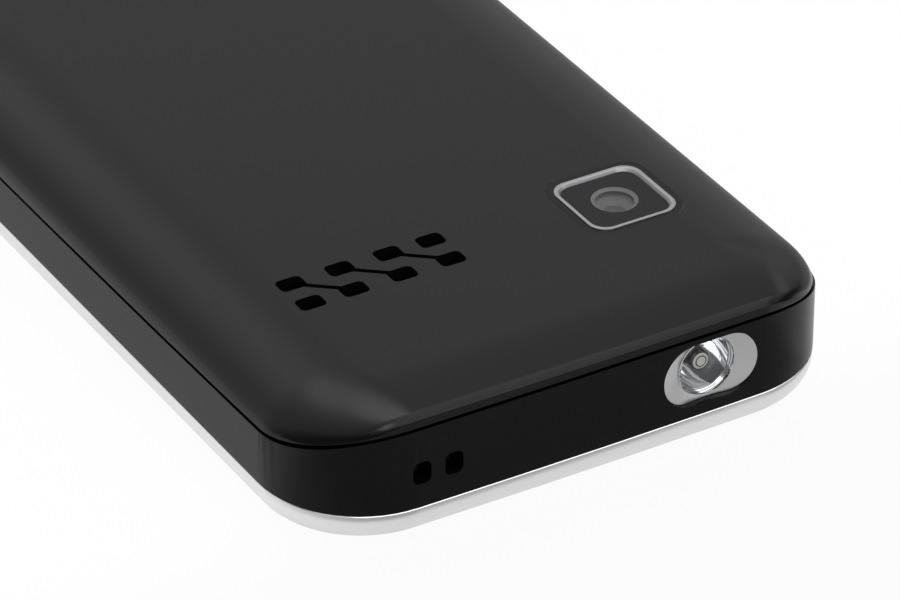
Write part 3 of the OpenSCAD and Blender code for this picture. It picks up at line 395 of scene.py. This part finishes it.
rim_chrome = finish("rim_chrome", RIM_SILVER, roughness=0.2, metallic=1, grain_mm=0.4, relief=0.04,
                    cloud=0.05)
broken_edges("front_frame", "chassis", rim_chrome, RIM_EDGE_MM, angle=RIM_EDGE_ANGLE)

# Front panel
# A glossy black moulding that drops into the rim from behind. It holds the display window, and the keys come
# through it.
PANEL_BLACK = (0.006, 0.006, 0.0065)
PANEL_EDGE_MM = 0.06
panel_plastic = finish("panel_plastic", PANEL_BLACK, roughness=0.12, grain_mm=0.3, relief=0.03, coat=0.3)
broken_edges("front_panel", "chassis", panel_plastic, PANEL_EDGE_MM)

# Display
# A sheet of hard clear acrylic, glued into the panel. The dark display cell lies behind it, and its columns
# are just lighter than the gaps between them.
DISPLAY_TINT = (0.82, 0.86, 0.9, 1)
DISPLAY_EDGE_MM = 0.08
CELL_GREY = (0.012, 0.014, 0.018)
CELL_LINE = (0.015, 0.0175, 0.022, 1)
CELL_PITCH_MM = 0.24
CELL_LINE_HALF = 0.3
MIDDLE = 0.5


def clear(name, colour, ior=1.49):
    """Clear moulded plastic or glass."""
    made, tree = new_material(name)
    shade = tree.nodes.new("ShaderNodeBsdfPrincipled")
    shade.inputs["Base Color"].default_value = colour
    shade.inputs["Roughness"].default_value = 0
    shade.inputs["IOR"].default_value = ior
    shade.inputs["Transmission Weight"].default_value = 1
    to_surface(tree, shade)
    return made


def dress(material, *names):
    for name in names:
        mesh = nodes[name].data
        mesh.materials.clear()
        mesh.materials.append(material)


def place_of(material, centre=(0, 0, 0)):
    """A point's place from a centre, as a vector in millimetres."""
    tree = material.node_tree
    place = tree.nodes.new("ShaderNodeTexCoord").outputs["Object"]
    shifted = vector_step(tree, "SUBTRACT", place, centre)
    return vector_step(tree, "MULTIPLY", shifted, (1 / MM, 1 / MM, 1 / MM))


def painted(material, mask, colour):
    """Lay a second colour over a finish where the mask is 1."""
    tree = material.node_tree
    shade = next(node for node in tree.nodes if node.type == "BSDF_PRINCIPLED")
    under = shade.inputs["Base Color"].links[0].from_socket
    tree.links.new(blended(tree, mask, under, colour), shade.inputs["Base Color"])


display_glass = clear("display_glass", DISPLAY_TINT)
broken_edges("display_window", "chassis", display_glass, DISPLAY_EDGE_MM, segments=3)
lcd_glass = finish("lcd_glass", CELL_GREY, roughness=0.18, grain_mm=0.12, relief=0.01)
tree = lcd_glass.node_tree
across = axes_of(tree, place_of(lcd_glass))["X"]
in_cell = value_step(tree, "FRACT", value_step(tree, "DIVIDE", across, CELL_PITCH_MM))
painted(lcd_glass, value_step(tree, "COMPARE", in_cell, MIDDLE, CELL_LINE_HALF), CELL_LINE)
dress(lcd_glass, "lcd_module")

# Earpiece and microphone
# A small speaker capsule behind a slot that a fine steel mesh closes, and a steel microphone capsule behind a
# pinhole.
PLASTIC_BLACK = (0.008, 0.008, 0.0085)
STEEL_GREY = (0.56, 0.56, 0.57)
MESH_GREY = (0.42, 0.42, 0.43)
MESH_PITCH_MM = 0.34
MESH_HOLE = 0.3
HOLE_BLACK = (0.004, 0.004, 0.004, 1)
black_plastic = finish("black_plastic", PLASTIC_BLACK, roughness=0.42, ior=1.4)
sheet_steel = finish("sheet_steel", STEEL_GREY, roughness=0.32, metallic=1, grain_mm=0.15, relief=0.1,
                     stretch=(1, 0.15, 1))
steel_mesh = finish("steel_mesh", MESH_GREY, roughness=0.35, metallic=1, grain_mm=0.16, relief=0.3)
tree = steel_mesh.node_tree
place = axes_of(tree, place_of(steel_mesh))
squares = []
for axis in ("X", "Y"):
    in_pitch = value_step(tree, "FRACT", value_step(tree, "DIVIDE", place[axis], MESH_PITCH_MM))
    from_middle = value_step(tree, "SUBTRACT", in_pitch, MIDDLE)
    squares.append(product(tree, from_middle, from_middle))
hole = value_step(tree, "LESS_THAN", value_step(tree, "ADD", *squares), MESH_HOLE ** 2)
painted(steel_mesh, hole, HOLE_BLACK)
dress(black_plastic, "earpiece")
dress(steel_mesh, "earpiece_mesh")
dress(sheet_steel, "microphone")

# Keys
# Moulded caps with a crowned, softly shining face. Each rests on the rubber mat and is held in by its lip.
# The legends are printed on the face.
KEY_BLACK = (0.028, 0.028, 0.03)
KEY_EDGE_MM = 0.14
CROWN_R = 90 * MM
PRINT_WHITE = (0.78, 0.79, 0.8)
PRINT_T = 0.04 * MM
PRINT_MERGE = 1e-7
DIGIT_H = 2.7
LETTER_H = 1.35
DIGIT_X = -2.7
LETTER_X = 2.3
CAPITAL_SHARE = 0.7
LETTER_CURVE_STEPS = 4
LEGENDS = {"key_1": ("1", ""), "key_2": ("2", "abc"), "key_3": ("3", "def"), "key_4": ("4", "ghi"),
           "key_5": ("5", "jkl"), "key_6": ("6", "mno"), "key_7": ("7", "pqrs"), "key_8": ("8", "tuv"),
           "key_9": ("9", "wxyz"), "key_star": ("*", ""), "key_0": ("0", "+"), "key_hash": ("#", "")}
key_plastic = finish("key_plastic", KEY_BLACK, roughness=0.22, grain_mm=0.1, relief=0.06)
print_white = finish("print_white", PRINT_WHITE, roughness=0.45, grain_mm=0.05, relief=0.1, cloud=0.04)


def thickened(piece, thickness, offset):
    wall = piece.modifiers.new("wall", "SOLIDIFY")
    wall.thickness = thickness
    wall.offset = offset
    bpy.ops.object.modifier_apply(modifier="wall")


def turned_out(mark):
    """Turn a flat mark's face outwards and give it the thickness of a print."""
    pick(mark)
    bpy.ops.object.mode_set(mode="EDIT")
    bpy.ops.mesh.select_all(action="SELECT")
    bpy.ops.mesh.remove_doubles(threshold=PRINT_MERGE)
    bpy.ops.mesh.flip_normals()
    bpy.ops.object.mode_set(mode="OBJECT")
    thickened(mark, PRINT_T, offset=0)


def lay_on_face(mark, key, material):
    """Drop a flat mark onto a key's crowned face."""
    low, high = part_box(key)
    x0, y0 = (low[0] + high[0]) / 2, (low[1] + high[1]) / 2
    for v in mark.data.vertices:
        across = v.co.x ** 2 + v.co.y ** 2
        v.co = (x0 + v.co.x, y0 - v.co.y, low[2] + CROWN_R - math.sqrt(CROWN_R ** 2 - across))
    turned_out(mark)
    settle(mark, key, material)


def printed(text, key, x_mm, height_mm, tag):
    bpy.ops.object.select_all(action="DESELECT")
    bpy.ops.object.text_add(location=(0, 0, 0))
    mark = bpy.context.object
    mark.name = key + "_" + tag
    mark.data.body = text
    mark.data.align_x = "CENTER"
    mark.data.align_y = "CENTER"
    mark.data.size = height_mm * MM / CAPITAL_SHARE
    mark.data.resolution_u = LETTER_CURVE_STEPS
    bpy.ops.object.convert(target="MESH")
    mark = bpy.context.object
    mark.location.x = x_mm * MM
    bpy.ops.object.transform_apply(location=True, rotation=True, scale=True)
    lay_on_face(mark, key, print_white)


for key, (digit, letters) in LEGENDS.items():
    broken_edges(key, key, key_plastic, KEY_EDGE_MM, segments=3)
    printed(digit, key, DIGIT_X if letters else 0, DIGIT_H, "digit")
    if letters:
        printed(letters, key, LETTER_X, LETTER_H, "letters")

# Soft, call and end keys
# Four wider caps beside the navigation ring, made and held as the number keys are. Two carry a plain bar, and
# two a handset in green and in red.
PRINT_GREEN = (0.05, 0.42, 0.1)
PRINT_RED = (0.55, 0.03, 0.03)
SYMBOL_STEPS = (28, 4)
BAR_MM = (3.2, 0.5)
HANDSET_HALF = 2.2
HANDSET_BOW = 0.75
HANDSET_GRIP = 0.42
HANDSET_CUP = 0.8
HANDSET_NECK = 0.55
HANDSET_FLARE = 0.12
print_green = finish("print_green", PRINT_GREEN, roughness=0.45, grain_mm=0.05, relief=0.1, cloud=0.05)
print_red = finish("print_red", PRINT_RED, roughness=0.45, grain_mm=0.05, relief=0.1, cloud=0.05)


def symbol(key, shape, material, tag):
    """A small sheet shaped by its own rule, printed on the key."""
    bpy.ops.object.select_all(action="DESELECT")
    bpy.ops.mesh.primitive_grid_add(x_subdivisions=SYMBOL_STEPS[0], y_subdivisions=SYMBOL_STEPS[1], size=2)
    mark = bpy.context.object
    mark.name = key + "_" + tag
    for v in mark.data.vertices:
        v.co = Vector((*shape(v.co.x, v.co.y), 0)) * MM
    lay_on_face(mark, key, material)


def bar(x, y):
    return x * BAR_MM[0] / 2, y * BAR_MM[1] / 2


def handset(side):
    def shape(x, y):
        cup = min(1, max(0, (abs(x) - HANDSET_NECK) / HANDSET_FLARE))
        half = HANDSET_GRIP + (HANDSET_CUP - HANDSET_GRIP) * cup
        bow = HANDSET_BOW * (1 - x * x)
        drop = -(half - HANDSET_GRIP)
        return x * HANDSET_HALF, side * (bow + drop + y * half - HANDSET_BOW / 2)
    return shape


for key in ("soft_key_left", "soft_key_right", "call_key", "end_key"):
    broken_edges(key, key, key_plastic, KEY_EDGE_MM, segments=3)
symbol("soft_key_left", bar, print_white, "bar")
symbol("soft_key_right", bar, print_white, "bar")
symbol("call_key", handset(-1), print_green, "handset")
symbol("end_key", handset(1), print_red, "handset")

# Navigation ring and OK key
# A plated square ring that rocks on its rubber pad, with a round key in its middle. Small printed marks point
# the four ways.
NAV_SILVER = (0.42, 0.42, 0.43)
NAV_EDGE_MM = 0.22
MARK_R = 0.55 * MM
MARK_STRETCH = (1.5, 0.8)
MARK_REACH = 5.3 * MM
MARK_COUNT = 4
MAT_GREY = (0.05, 0.05, 0.052)
nav_plastic = finish("nav_plastic", NAV_SILVER, roughness=0.24, metallic=1, grain_mm=0.3, relief=0.04)
broken_edges("nav_ring", "nav_ring", nav_plastic, NAV_EDGE_MM, segments=3)
broken_edges("ok_key", "ok_key", key_plastic, KEY_EDGE_MM, segments=3)
low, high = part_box("nav_ring")
nav_mid = ((low[0] + high[0]) / 2, (low[1] + high[1]) / 2)
for i in range(MARK_COUNT):
    bpy.ops.object.select_all(action="DESELECT")
    bpy.ops.mesh.primitive_circle_add(vertices=3, radius=MARK_R, fill_type="NGON")
    mark = bpy.context.object
    mark.name = "nav_mark_%d" % (i + 1)
    turn = i * 2 * math.pi / MARK_COUNT
    for v in mark.data.vertices:
        x, y = v.co.x * MARK_STRETCH[0], v.co.y * MARK_STRETCH[1] + MARK_REACH
        v.co = (nav_mid[0] + x * math.cos(turn) - y * math.sin(turn),
                nav_mid[1] + x * math.sin(turn) + y * math.cos(turn), low[2])
    turned_out(mark)
    settle(mark, "nav_ring", panel_plastic)
mat_rubber = finish("mat_rubber", MAT_GREY, roughness=0.7, grain_mm=0.12, relief=0.3)
dress(mat_rubber, "nav_pad", "keypad_mat")

# Circuit board
# A green board with the domes of the keys on its front and two steel cans on its back. A small board at the
# top end carries the torch's light.
FILM_CREAM = (0.6, 0.57, 0.48)
BOARD_GREEN = (0.012, 0.11, 0.045)
dome_film = finish("dome_film", FILM_CREAM, roughness=0.35, grain_mm=0.2, relief=0.1)
circuit_board = finish("circuit_board", BOARD_GREEN, roughness=0.38, grain_mm=0.5, relief=0.35, cloud=0.3,
                       cloud_scale=600)
dress(dome_film, "dome_sheet")
dress(circuit_board, "main_board", "torch_board")
dress(sheet_steel, "processor_shield", "radio_shield")

# Mid frame
# The black band round the phone, moulded in one piece with the deck under the battery. It has a fine spark
# eroded texture and softly broken edges, and six screws hold it to the front.
FRAME_BLACK = (0.002, 0.002, 0.0021)
FRAME_EDGE_MM = 0.1
SCREW_GREY = (0.4, 0.4, 0.41)
SCREW_EDGE_MM = 0.06
frame_plastic = finish("frame_plastic", FRAME_BLACK, roughness=0.28, ior=1.27)
broken_edges("mid_frame", "chassis", frame_plastic, FRAME_EDGE_MM)
screw_steel = finish("screw_steel", SCREW_GREY, roughness=0.3, metallic=1, grain_mm=0.1, relief=0.1)
broken_edges("case_screws", "chassis", screw_steel, SCREW_EDGE_MM)

# Torch
# A dished oval bezel with a satin finish is pressed into the top end. A clear domed lens sits in it, over a
# bright bowl, and the light's pale body stands in the bowl's floor.
TORCH_SILVER = (0.78, 0.78, 0.79)
TORCH_EDGE_MM = 0.12
BOWL_SILVER = (0.95, 0.95, 0.96)
BOWL_POINTS = 48
BOWL_MOUTH_GAP = 0.3 * MM
BOWL_FLOOR_R = 1.0 * MM
BOWL_SHARES = (0.15, 0.3, 0.45, 0.6, 0.72, 0.85)
BOWL_WALL = 0.03 * MM
ROUND_ANGLE = math.radians(30)
torch_metal = finish("torch_metal", TORCH_SILVER, roughness=0.3, metallic=1, grain_mm=0.1, relief=0.06)
broken_edges("torch_bezel", "chassis", torch_metal, TORCH_EDGE_MM, segments=4)
reflector_chrome = finish("reflector_chrome", BOWL_SILVER, roughness=0.05, metallic=0.82, grain_mm=0.5,
                          relief=0.02, cloud=0.03)
dress(reflector_chrome, "torch_reflector")
low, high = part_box("torch_reflector")
torch_axis = ((low[0] + high[0]) / 2, low[1], (low[2] + high[2]) / 2)
mouth = (high[0] - low[0]) / 2 - BOWL_MOUTH_GAP
depth = high[1] - low[1]
bpy.ops.object.select_all(action="DESELECT")
bpy.ops.mesh.primitive_circle_add(vertices=BOWL_POINTS, radius=mouth, location=torch_axis,
                                  rotation=(math.pi / 2, 0, 0))
bowl = bpy.context.object
bowl.name = "torch_facets"
bpy.ops.object.transform_apply(location=True, rotation=True, scale=True)
bpy.ops.object.mode_set(mode="EDIT")
bpy.ops.mesh.select_all(action="SELECT")
radius, reach = mouth, 0.0
for share in BOWL_SHARES:
    wanted = mouth - (mouth - BOWL_FLOOR_R) * share ** 2
    forward = depth * share - reach
    bpy.ops.mesh.extrude_edges_move(TRANSFORM_OT_translate={"value": (0, forward, 0)})
    ratio = wanted / radius
    bpy.ops.transform.resize(value=(ratio, 1, ratio), center_override=torch_axis)
    radius, reach = wanted, depth * share
bpy.ops.mesh.select_all(action="SELECT")
bpy.ops.mesh.normals_make_consistent(inside=True)
bpy.ops.object.mode_set(mode="OBJECT")
thickened(bowl, BOWL_WALL, offset=-1)
bpy.ops.object.shade_smooth_by_angle(angle=ROUND_ANGLE)
settle(bowl, "chassis", reflector_chrome)


def turned_along_y(name, centre, steps, points):
    """A closed solid drawn out of a disc, step by step; each step is a radius and a place along Y."""
    bpy.ops.object.select_all(action="DESELECT")
    radius, y = steps[0]
    bpy.ops.mesh.primitive_circle_add(vertices=points, radius=radius, fill_type="NGON",
                                      location=(centre[0], y, centre[2]), rotation=(math.pi / 2, 0, 0))
    piece = bpy.context.object
    piece.name = name
    bpy.ops.object.transform_apply(location=True, rotation=True, scale=True)
    bpy.ops.object.mode_set(mode="EDIT")
    bpy.ops.mesh.select_all(action="SELECT")
    for wanted, next_y in steps[1:]:
        bpy.ops.mesh.extrude_region_move(TRANSFORM_OT_translate={"value": (0, next_y - y, 0)})
        ratio = wanted / radius
        bpy.ops.transform.resize(value=(ratio, 1, ratio), center_override=(centre[0], next_y, centre[2]))
        radius, y = wanted, next_y
    bpy.ops.mesh.select_all(action="SELECT")
    bpy.ops.mesh.normals_make_consistent(inside=False)
    bpy.ops.object.mode_set(mode="OBJECT")
    return piece


LENS_DOME = 0.45 * MM
LENS_EDGE = 0.08 * MM
LENS_POINTS = 64
LENS_SMOOTH_ANGLE = math.radians(20)
DOME_STEPS = 14
LENS_TINT = (0.97, 0.98, 0.99, 1)
low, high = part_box("torch_lens")
lens_r = (high[0] - low[0]) / 2
dome_r = (lens_r ** 2 + LENS_DOME ** 2) / (2 * LENS_DOME)
profile = []
for i in range(1, DOME_STEPS + 1):
    r = (lens_r - LENS_EDGE) * i / DOME_STEPS
    profile.append((r, low[1] + dome_r - math.sqrt(dome_r ** 2 - r ** 2)))
profile.append((lens_r, low[1] + LENS_DOME + LENS_EDGE))
profile.append((lens_r, high[1]))
torch_lens = turned_along_y("torch_lens_finished", torch_axis, profile, LENS_POINTS)
bpy.ops.object.shade_smooth_by_angle(angle=LENS_SMOOTH_ANGLE)
settle(torch_lens, "chassis", clear("torch_glass", LENS_TINT, ior=1.22))
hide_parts("torch_lens")

LED_CREAM = (0.8, 0.79, 0.72)
LED_RING_GREY = (0.06, 0.06, 0.06, 1)
LED_RINGS_MM = ((0.43, 0.05), (0.72, 0.06))
LED_STANDS = 0.1 * MM
LED_SEAT_GAP = 0.02 * MM
LED_PROFILE_MM = ((0.3, 0), (0.52, 0.02), (0.7, 0.08), (0.78, 0.2))
LED_POINTS = 48
led_resin = finish("led_resin", LED_CREAM, roughness=0.2, grain_mm=0.2, relief=0.05)
tree = led_resin.node_tree
flat_place = vector_step(tree, "MULTIPLY", place_of(led_resin, torch_axis), (1, 0, 1))
from_axis = vector_step(tree, "LENGTH", flat_place)
for ring_r, ring_half in LED_RINGS_MM:
    painted(led_resin, value_step(tree, "COMPARE", from_axis, ring_r, ring_half), LED_RING_GREY)
dress(led_resin, "torch_led")
led_front = torch_axis[1] + LED_STANDS
profile = [(r * MM, led_front + behind * MM) for r, behind in LED_PROFILE_MM]
profile.append((profile[-1][0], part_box("torch_led")[0][1] - LED_SEAT_GAP))
led_body = turned_along_y("torch_led_body", torch_axis, profile, LED_POINTS)
bpy.ops.object.shade_smooth_by_angle(angle=ROUND_ANGLE)
settle(led_body, "chassis", led_resin)

# Camera
# A square bezel with rounded corners stands in the cover's opening, where a soft black seal rings it. The
# seal is a little darker than the cover, as painted shade for the moat round the bezel. A black ring with a
# grey sloped lining is glued on its clear window. The lens with its pupil sits under the window.
BEZEL_GREY = (0.38, 0.38, 0.39)
BEZEL_EDGE_MM = 0.06
GLASS_TINT = (0.95, 0.95, 0.95, 1)
MASK_BLACK = (0.003, 0.003, 0.003)
MASK_R = 1.95 * MM
MASK_T = 0.2 * MM
MASK_FLARE = 0.12 * MM
MASK_UNDERCUT = 0.34 * MM
MASK_MARGIN = 0.02 * MM
MASK_CORNER = 1.15 * MM
MASK_GLUE = 0.01 * MM
RING_POINTS = 96
RING_SMOOTH_ANGLE = math.radians(25)
bezel_metal = finish("bezel_metal", BEZEL_GREY, roughness=0.5, metallic=1, grain_mm=0.08, relief=0.05)
broken_edges("camera_bezel", "chassis", bezel_metal, BEZEL_EDGE_MM)
dress(clear("camera_glass", GLASS_TINT, ior=1.3), "camera_window")
dress(black_plastic, "camera_module")


def square_ring(name, centre, sections):
    """A closed ring drawn out of a circle; each section is a half width, a corner radius and a height."""
    bpy.ops.object.select_all(action="DESELECT")
    bpy.ops.mesh.primitive_circle_add(vertices=RING_POINTS, radius=MM)
    piece = bpy.context.object
    piece.name = name
    bpy.ops.object.mode_set(mode="EDIT")
    bpy.ops.mesh.select_all(action="SELECT")
    for _ in sections[1:]:
        bpy.ops.mesh.extrude_edges_move()
    bpy.ops.object.mode_set(mode="OBJECT")
    for i, v in enumerate(piece.data.vertices):
        half, corner, z = sections[i // RING_POINTS]
        wide = half / max(abs(v.co.x), abs(v.co.y))
        x, y = v.co.x * wide, v.co.y * wide
        core = half - corner
        if abs(x) > core and abs(y) > core:
            cx, cy = math.copysign(core, x), math.copysign(core, y)
            reach = corner / math.hypot(x - cx, y - cy)
            x, y = cx + (x - cx) * reach, cy + (y - cy) * reach
        v.co = (centre[0] + x, centre[1] + y, z)
    pick(piece)
    bpy.ops.object.mode_set(mode="EDIT")
    bpy.ops.mesh.select_mode(type="EDGE")
    bpy.ops.mesh.select_all(action="DESELECT")
    bpy.ops.mesh.select_non_manifold()
    bpy.ops.mesh.bridge_edge_loops()
    bpy.ops.mesh.select_all(action="SELECT")
    bpy.ops.mesh.normals_make_consistent(inside=False)
    bpy.ops.mesh.select_mode(type="VERT")
    bpy.ops.object.mode_set(mode="OBJECT")
    bpy.ops.object.shade_smooth_by_angle(angle=RING_SMOOTH_ANGLE)
    return piece


low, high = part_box("camera_window")
camera_axis = ((low[0] + high[0]) / 2, (low[1] + high[1]) / 2)
mask_half = (high[0] - low[0]) / 2 - MASK_MARGIN
mask_foot = MASK_R + MASK_UNDERCUT
mask_low = high[2] + MASK_GLUE
mask_high = mask_low + MASK_T
mask = square_ring("camera_mask", camera_axis, (
    (MASK_R, MASK_R, mask_high), (mask_half + MASK_FLARE, MASK_CORNER, mask_high),
    (mask_half, MASK_CORNER, mask_low), (mask_foot, mask_foot, mask_low)))
mask_black = finish("mask_black", MASK_BLACK, roughness=0.16, ior=1.34, grain_mm=0.3, relief=0.02)
settle(mask, "chassis", mask_black)

# The seal is its own black, made a little darker than the cover as painted shade for the moat round the
# bezel.
SEAL_BLACK_AND_SHADE = (0.0025, 0.0025, 0.0025)
SEAL_INNER = 4.07 * MM
SEAL_LOW_HALF = 4.343 * MM
SEAL_HIGH_HALF = 4.555 * MM
SEAL_CORNER = 1.7 * MM
SEAL_LOW = 0.35 * MM
SEAL_HIGH = 0.16 * MM
cover_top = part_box("back_cover")[1][2]
seal_low, seal_high = cover_top - SEAL_LOW, cover_top - SEAL_HIGH
seal = square_ring("camera_seal", camera_axis, (
    (SEAL_INNER, SEAL_CORNER, seal_high), (SEAL_HIGH_HALF, SEAL_CORNER, seal_high),
    (SEAL_LOW_HALF, SEAL_CORNER, seal_low), (SEAL_INNER, SEAL_CORNER, seal_low)))
settle(seal, "cover", finish("seal_rubber", SEAL_BLACK_AND_SHADE, roughness=0.25, ior=1.32))

LENS_GREY = (0.15, 0.15, 0.15)
LENS_EDGE_MM = 0.03
PUPIL_GREY = (0.06, 0.06, 0.062)
PUPIL_DEPTH = 0.5 * MM
PUPIL_FACING = 0.95
LINING_GREY = (0.14, 0.14, 0.14)
LINING_GAP = 0.005 * MM
LINING_LIP = 0.03 * MM
LINING_SLOPE = 0.33 * MM
lens_plastic = finish("lens_plastic", LENS_GREY, roughness=0.5, ior=1.3)
lens = broken_edges("camera_lens", "chassis", lens_plastic, LENS_EDGE_MM)
lens.data.materials.append(finish("lens_pupil", PUPIL_GREY, roughness=0.4, ior=1.3))
lens_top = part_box("camera_lens")[1][2]
for face in lens.data.polygons:
    if face.normal.z > PUPIL_FACING and face.center.z < lens_top - PUPIL_DEPTH:
        face.material_index = 1
lining_top = mask_high - MASK_GLUE
lining_out, lining_in, lining_foot = MASK_R - LINING_GAP, MASK_R - LINING_LIP, MASK_R - LINING_SLOPE
lining = square_ring("camera_lining", camera_axis, (
    (lining_in, lining_in, lining_top), (lining_out, lining_out, lining_top),
    (lining_out, lining_out, mask_low), (lining_foot, lining_foot, mask_low)))
settle(lining, "chassis", finish("lining_grey", LINING_GREY, roughness=0.5, ior=1.3))

# Loudspeaker
# A flat speaker capsule under the grille. A ring of foam seals it to the cover, and black cloth keeps out the
# dust.
FOAM_BLACK = (0.012, 0.012, 0.012)
CLOTH_BLACK = (0.003, 0.003, 0.003)
gasket_foam = finish("gasket_foam", FOAM_BLACK, roughness=0.9, grain_mm=0.25, relief=0.8)
speaker_cloth = finish("speaker_cloth", CLOTH_BLACK, roughness=0.85, ior=1.2, grain_mm=0.18, relief=0.7)
dress(black_plastic, "loudspeaker")
dress(gasket_foam, "speaker_gasket")
dress(speaker_cloth, "speaker_mesh")

# Small parts on the deck
# A coin motor, the antenna's carrier with its brass track, the sockets in the bottom end, and the battery's
# connector with its blades. They are glued or soldered in place.
BRASS = (0.75, 0.52, 0.2)
MOTOR_EDGE_MM = 0.3
SOCKET_EDGE_MM = 0.05
CARRIER_EDGE_MM = 0.15
JACK_EDGE_MM = 0.12
TRACE_W = 0.9 * MM
TRACE_SPACE = 0.7 * MM
TRACE_RUNS = 4
TRACE_MARGIN = 1.5 * MM
TRACE_T = 0.05 * MM
TRACE_EDGE = 0.015 * MM
contact_brass = finish("contact_brass", BRASS, roughness=0.25, metallic=1, grain_mm=0.2, relief=0.05)
broken_edges("vibration_motor", "chassis", sheet_steel, MOTOR_EDGE_MM, segments=3)
broken_edges("usb_socket", "chassis", sheet_steel, SOCKET_EDGE_MM)
broken_edges("antenna_carrier", "chassis", black_plastic, CARRIER_EDGE_MM)
for name in ("audio_jack", "battery_connector"):
    broken_edges(name, "chassis", black_plastic, JACK_EDGE_MM)
dress(contact_brass, "battery_contacts")


def strip_piece(name, rectangles, z, thickness, edge):
    """Flat strips cut from thin sheet, laid at one height, with their edges broken."""
    parts = []
    for x_low, x_high, y_low, y_high in rectangles:
        bpy.ops.object.select_all(action="DESELECT")
        bpy.ops.mesh.primitive_plane_add(size=1, location=((x_low + x_high) / 2, (y_low + y_high) / 2, z))
        part = bpy.context.object
        part.scale = (x_high - x_low, y_high - y_low, 1)
        bpy.ops.object.transform_apply(location=True, rotation=True, scale=True)
        parts.append(part)
    bpy.ops.object.select_all(action="DESELECT")
    for part in parts:
        part.select_set(True)
    bpy.context.view_layer.objects.active = parts[0]
    bpy.ops.object.join()
    piece = bpy.context.object
    piece.name = name
    thickened(piece, thickness, offset=1)
    bevel = piece.modifiers.new("edges", "BEVEL")
    bevel.width = edge
    bevel.segments = 2
    bpy.ops.object.modifier_apply(modifier="edges")
    settle(piece, "chassis", contact_brass)


low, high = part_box("antenna_carrier")
runs = []
for i in range(TRACE_RUNS):
    y_low = low[1] + TRACE_MARGIN + i * (TRACE_W + TRACE_SPACE)
    runs.append((low[0] + TRACE_MARGIN, high[0] - TRACE_MARGIN, y_low, y_low + TRACE_W))
    if i < TRACE_RUNS - 1:
        x_low = high[0] - TRACE_MARGIN - TRACE_W if i % 2 == 0 else low[0] + TRACE_MARGIN
        runs.append((x_low, x_low + TRACE_W, y_low + TRACE_W, y_low + TRACE_W + TRACE_SPACE))
strip_piece("antenna_trace", runs, high[2], TRACE_T, TRACE_EDGE)

# Battery
# A flat cell in a grey sleeve with a dark cap at each end. It is dropped into its bay against the connector's
# blades, and the cover keeps it there.
BATTERY_GREY = (0.3, 0.31, 0.33)
BATTERY_EDGE_MM = 0.3
CAP_BLACK = (0.015, 0.015, 0.017, 1)
CAP_MM = 3.6
battery_case = finish("battery_case", BATTERY_GREY, roughness=0.42, grain_mm=0.2, relief=0.12, cloud=0.12)
tree = battery_case.node_tree
low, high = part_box("battery")
lengthwise = axes_of(tree, place_of(battery_case, (0, (low[1] + high[1]) / 2, 0)))["Y"]
from_middle = value_step(tree, "ABSOLUTE", lengthwise)
cap = value_step(tree, "GREATER_THAN", from_middle, (high[1] - low[1]) / 2 / MM - CAP_MM)
painted(battery_case, cap, CAP_BLACK)
broken_edges("battery", "chassis", battery_case, BATTERY_EDGE_MM, segments=3)

# Card holders
# Three stamped steel holders, soldered beside each other beyond the battery. Each has a clip over its far
# half and gold pads on its floor.
HOLDER_EDGE_MM = 0.05
HOLDER_SHEET = 0.25 * MM
PAD_T = 0.12 * MM
PAD_EDGE = 0.04 * MM
SIM_PADS = ((2.4 * MM, 1.7 * MM), (-4, 0, 4), (1.9, 4.7))
MEMORY_PADS = ((0.8 * MM, 3.2 * MM), (-4.5, -2.7, -0.9, 0.9, 2.7, 4.5), (3.2,))
PAD_LAYOUT = {"sim_holder_1": SIM_PADS, "sim_holder_2": SIM_PADS, "memory_card_holder": MEMORY_PADS}
for name, (pad, columns, rows) in PAD_LAYOUT.items():
    broken_edges(name, "chassis", sheet_steel, HOLDER_EDGE_MM)
    low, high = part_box(name)
    middle = (low[0] + high[0]) / 2
    pads = []
    for column in columns:
        for row in rows:
            x, y = middle + column * MM, low[1] + row * MM
            pads.append((x - pad[0] / 2, x + pad[0] / 2, y - pad[1] / 2, y + pad[1] / 2))
    strip_piece(name + "_pads", pads, low[2] + HOLDER_SHEET, PAD_T, PAD_EDGE)

# Back cover
# One moulded shell with wide rolled long edges, a crowned end and a grille cut through it. It is matte dark
# grey and snaps onto the frame by tabs.
COVER_GREY = (0.003, 0.003, 0.0031)
COVER_EDGE_MM = 0.07
cover_plastic = finish("cover_plastic", COVER_GREY, roughness=0.2, ior=1.35)
broken_edges("back_cover", "cover", cover_plastic, COVER_EDGE_MM)
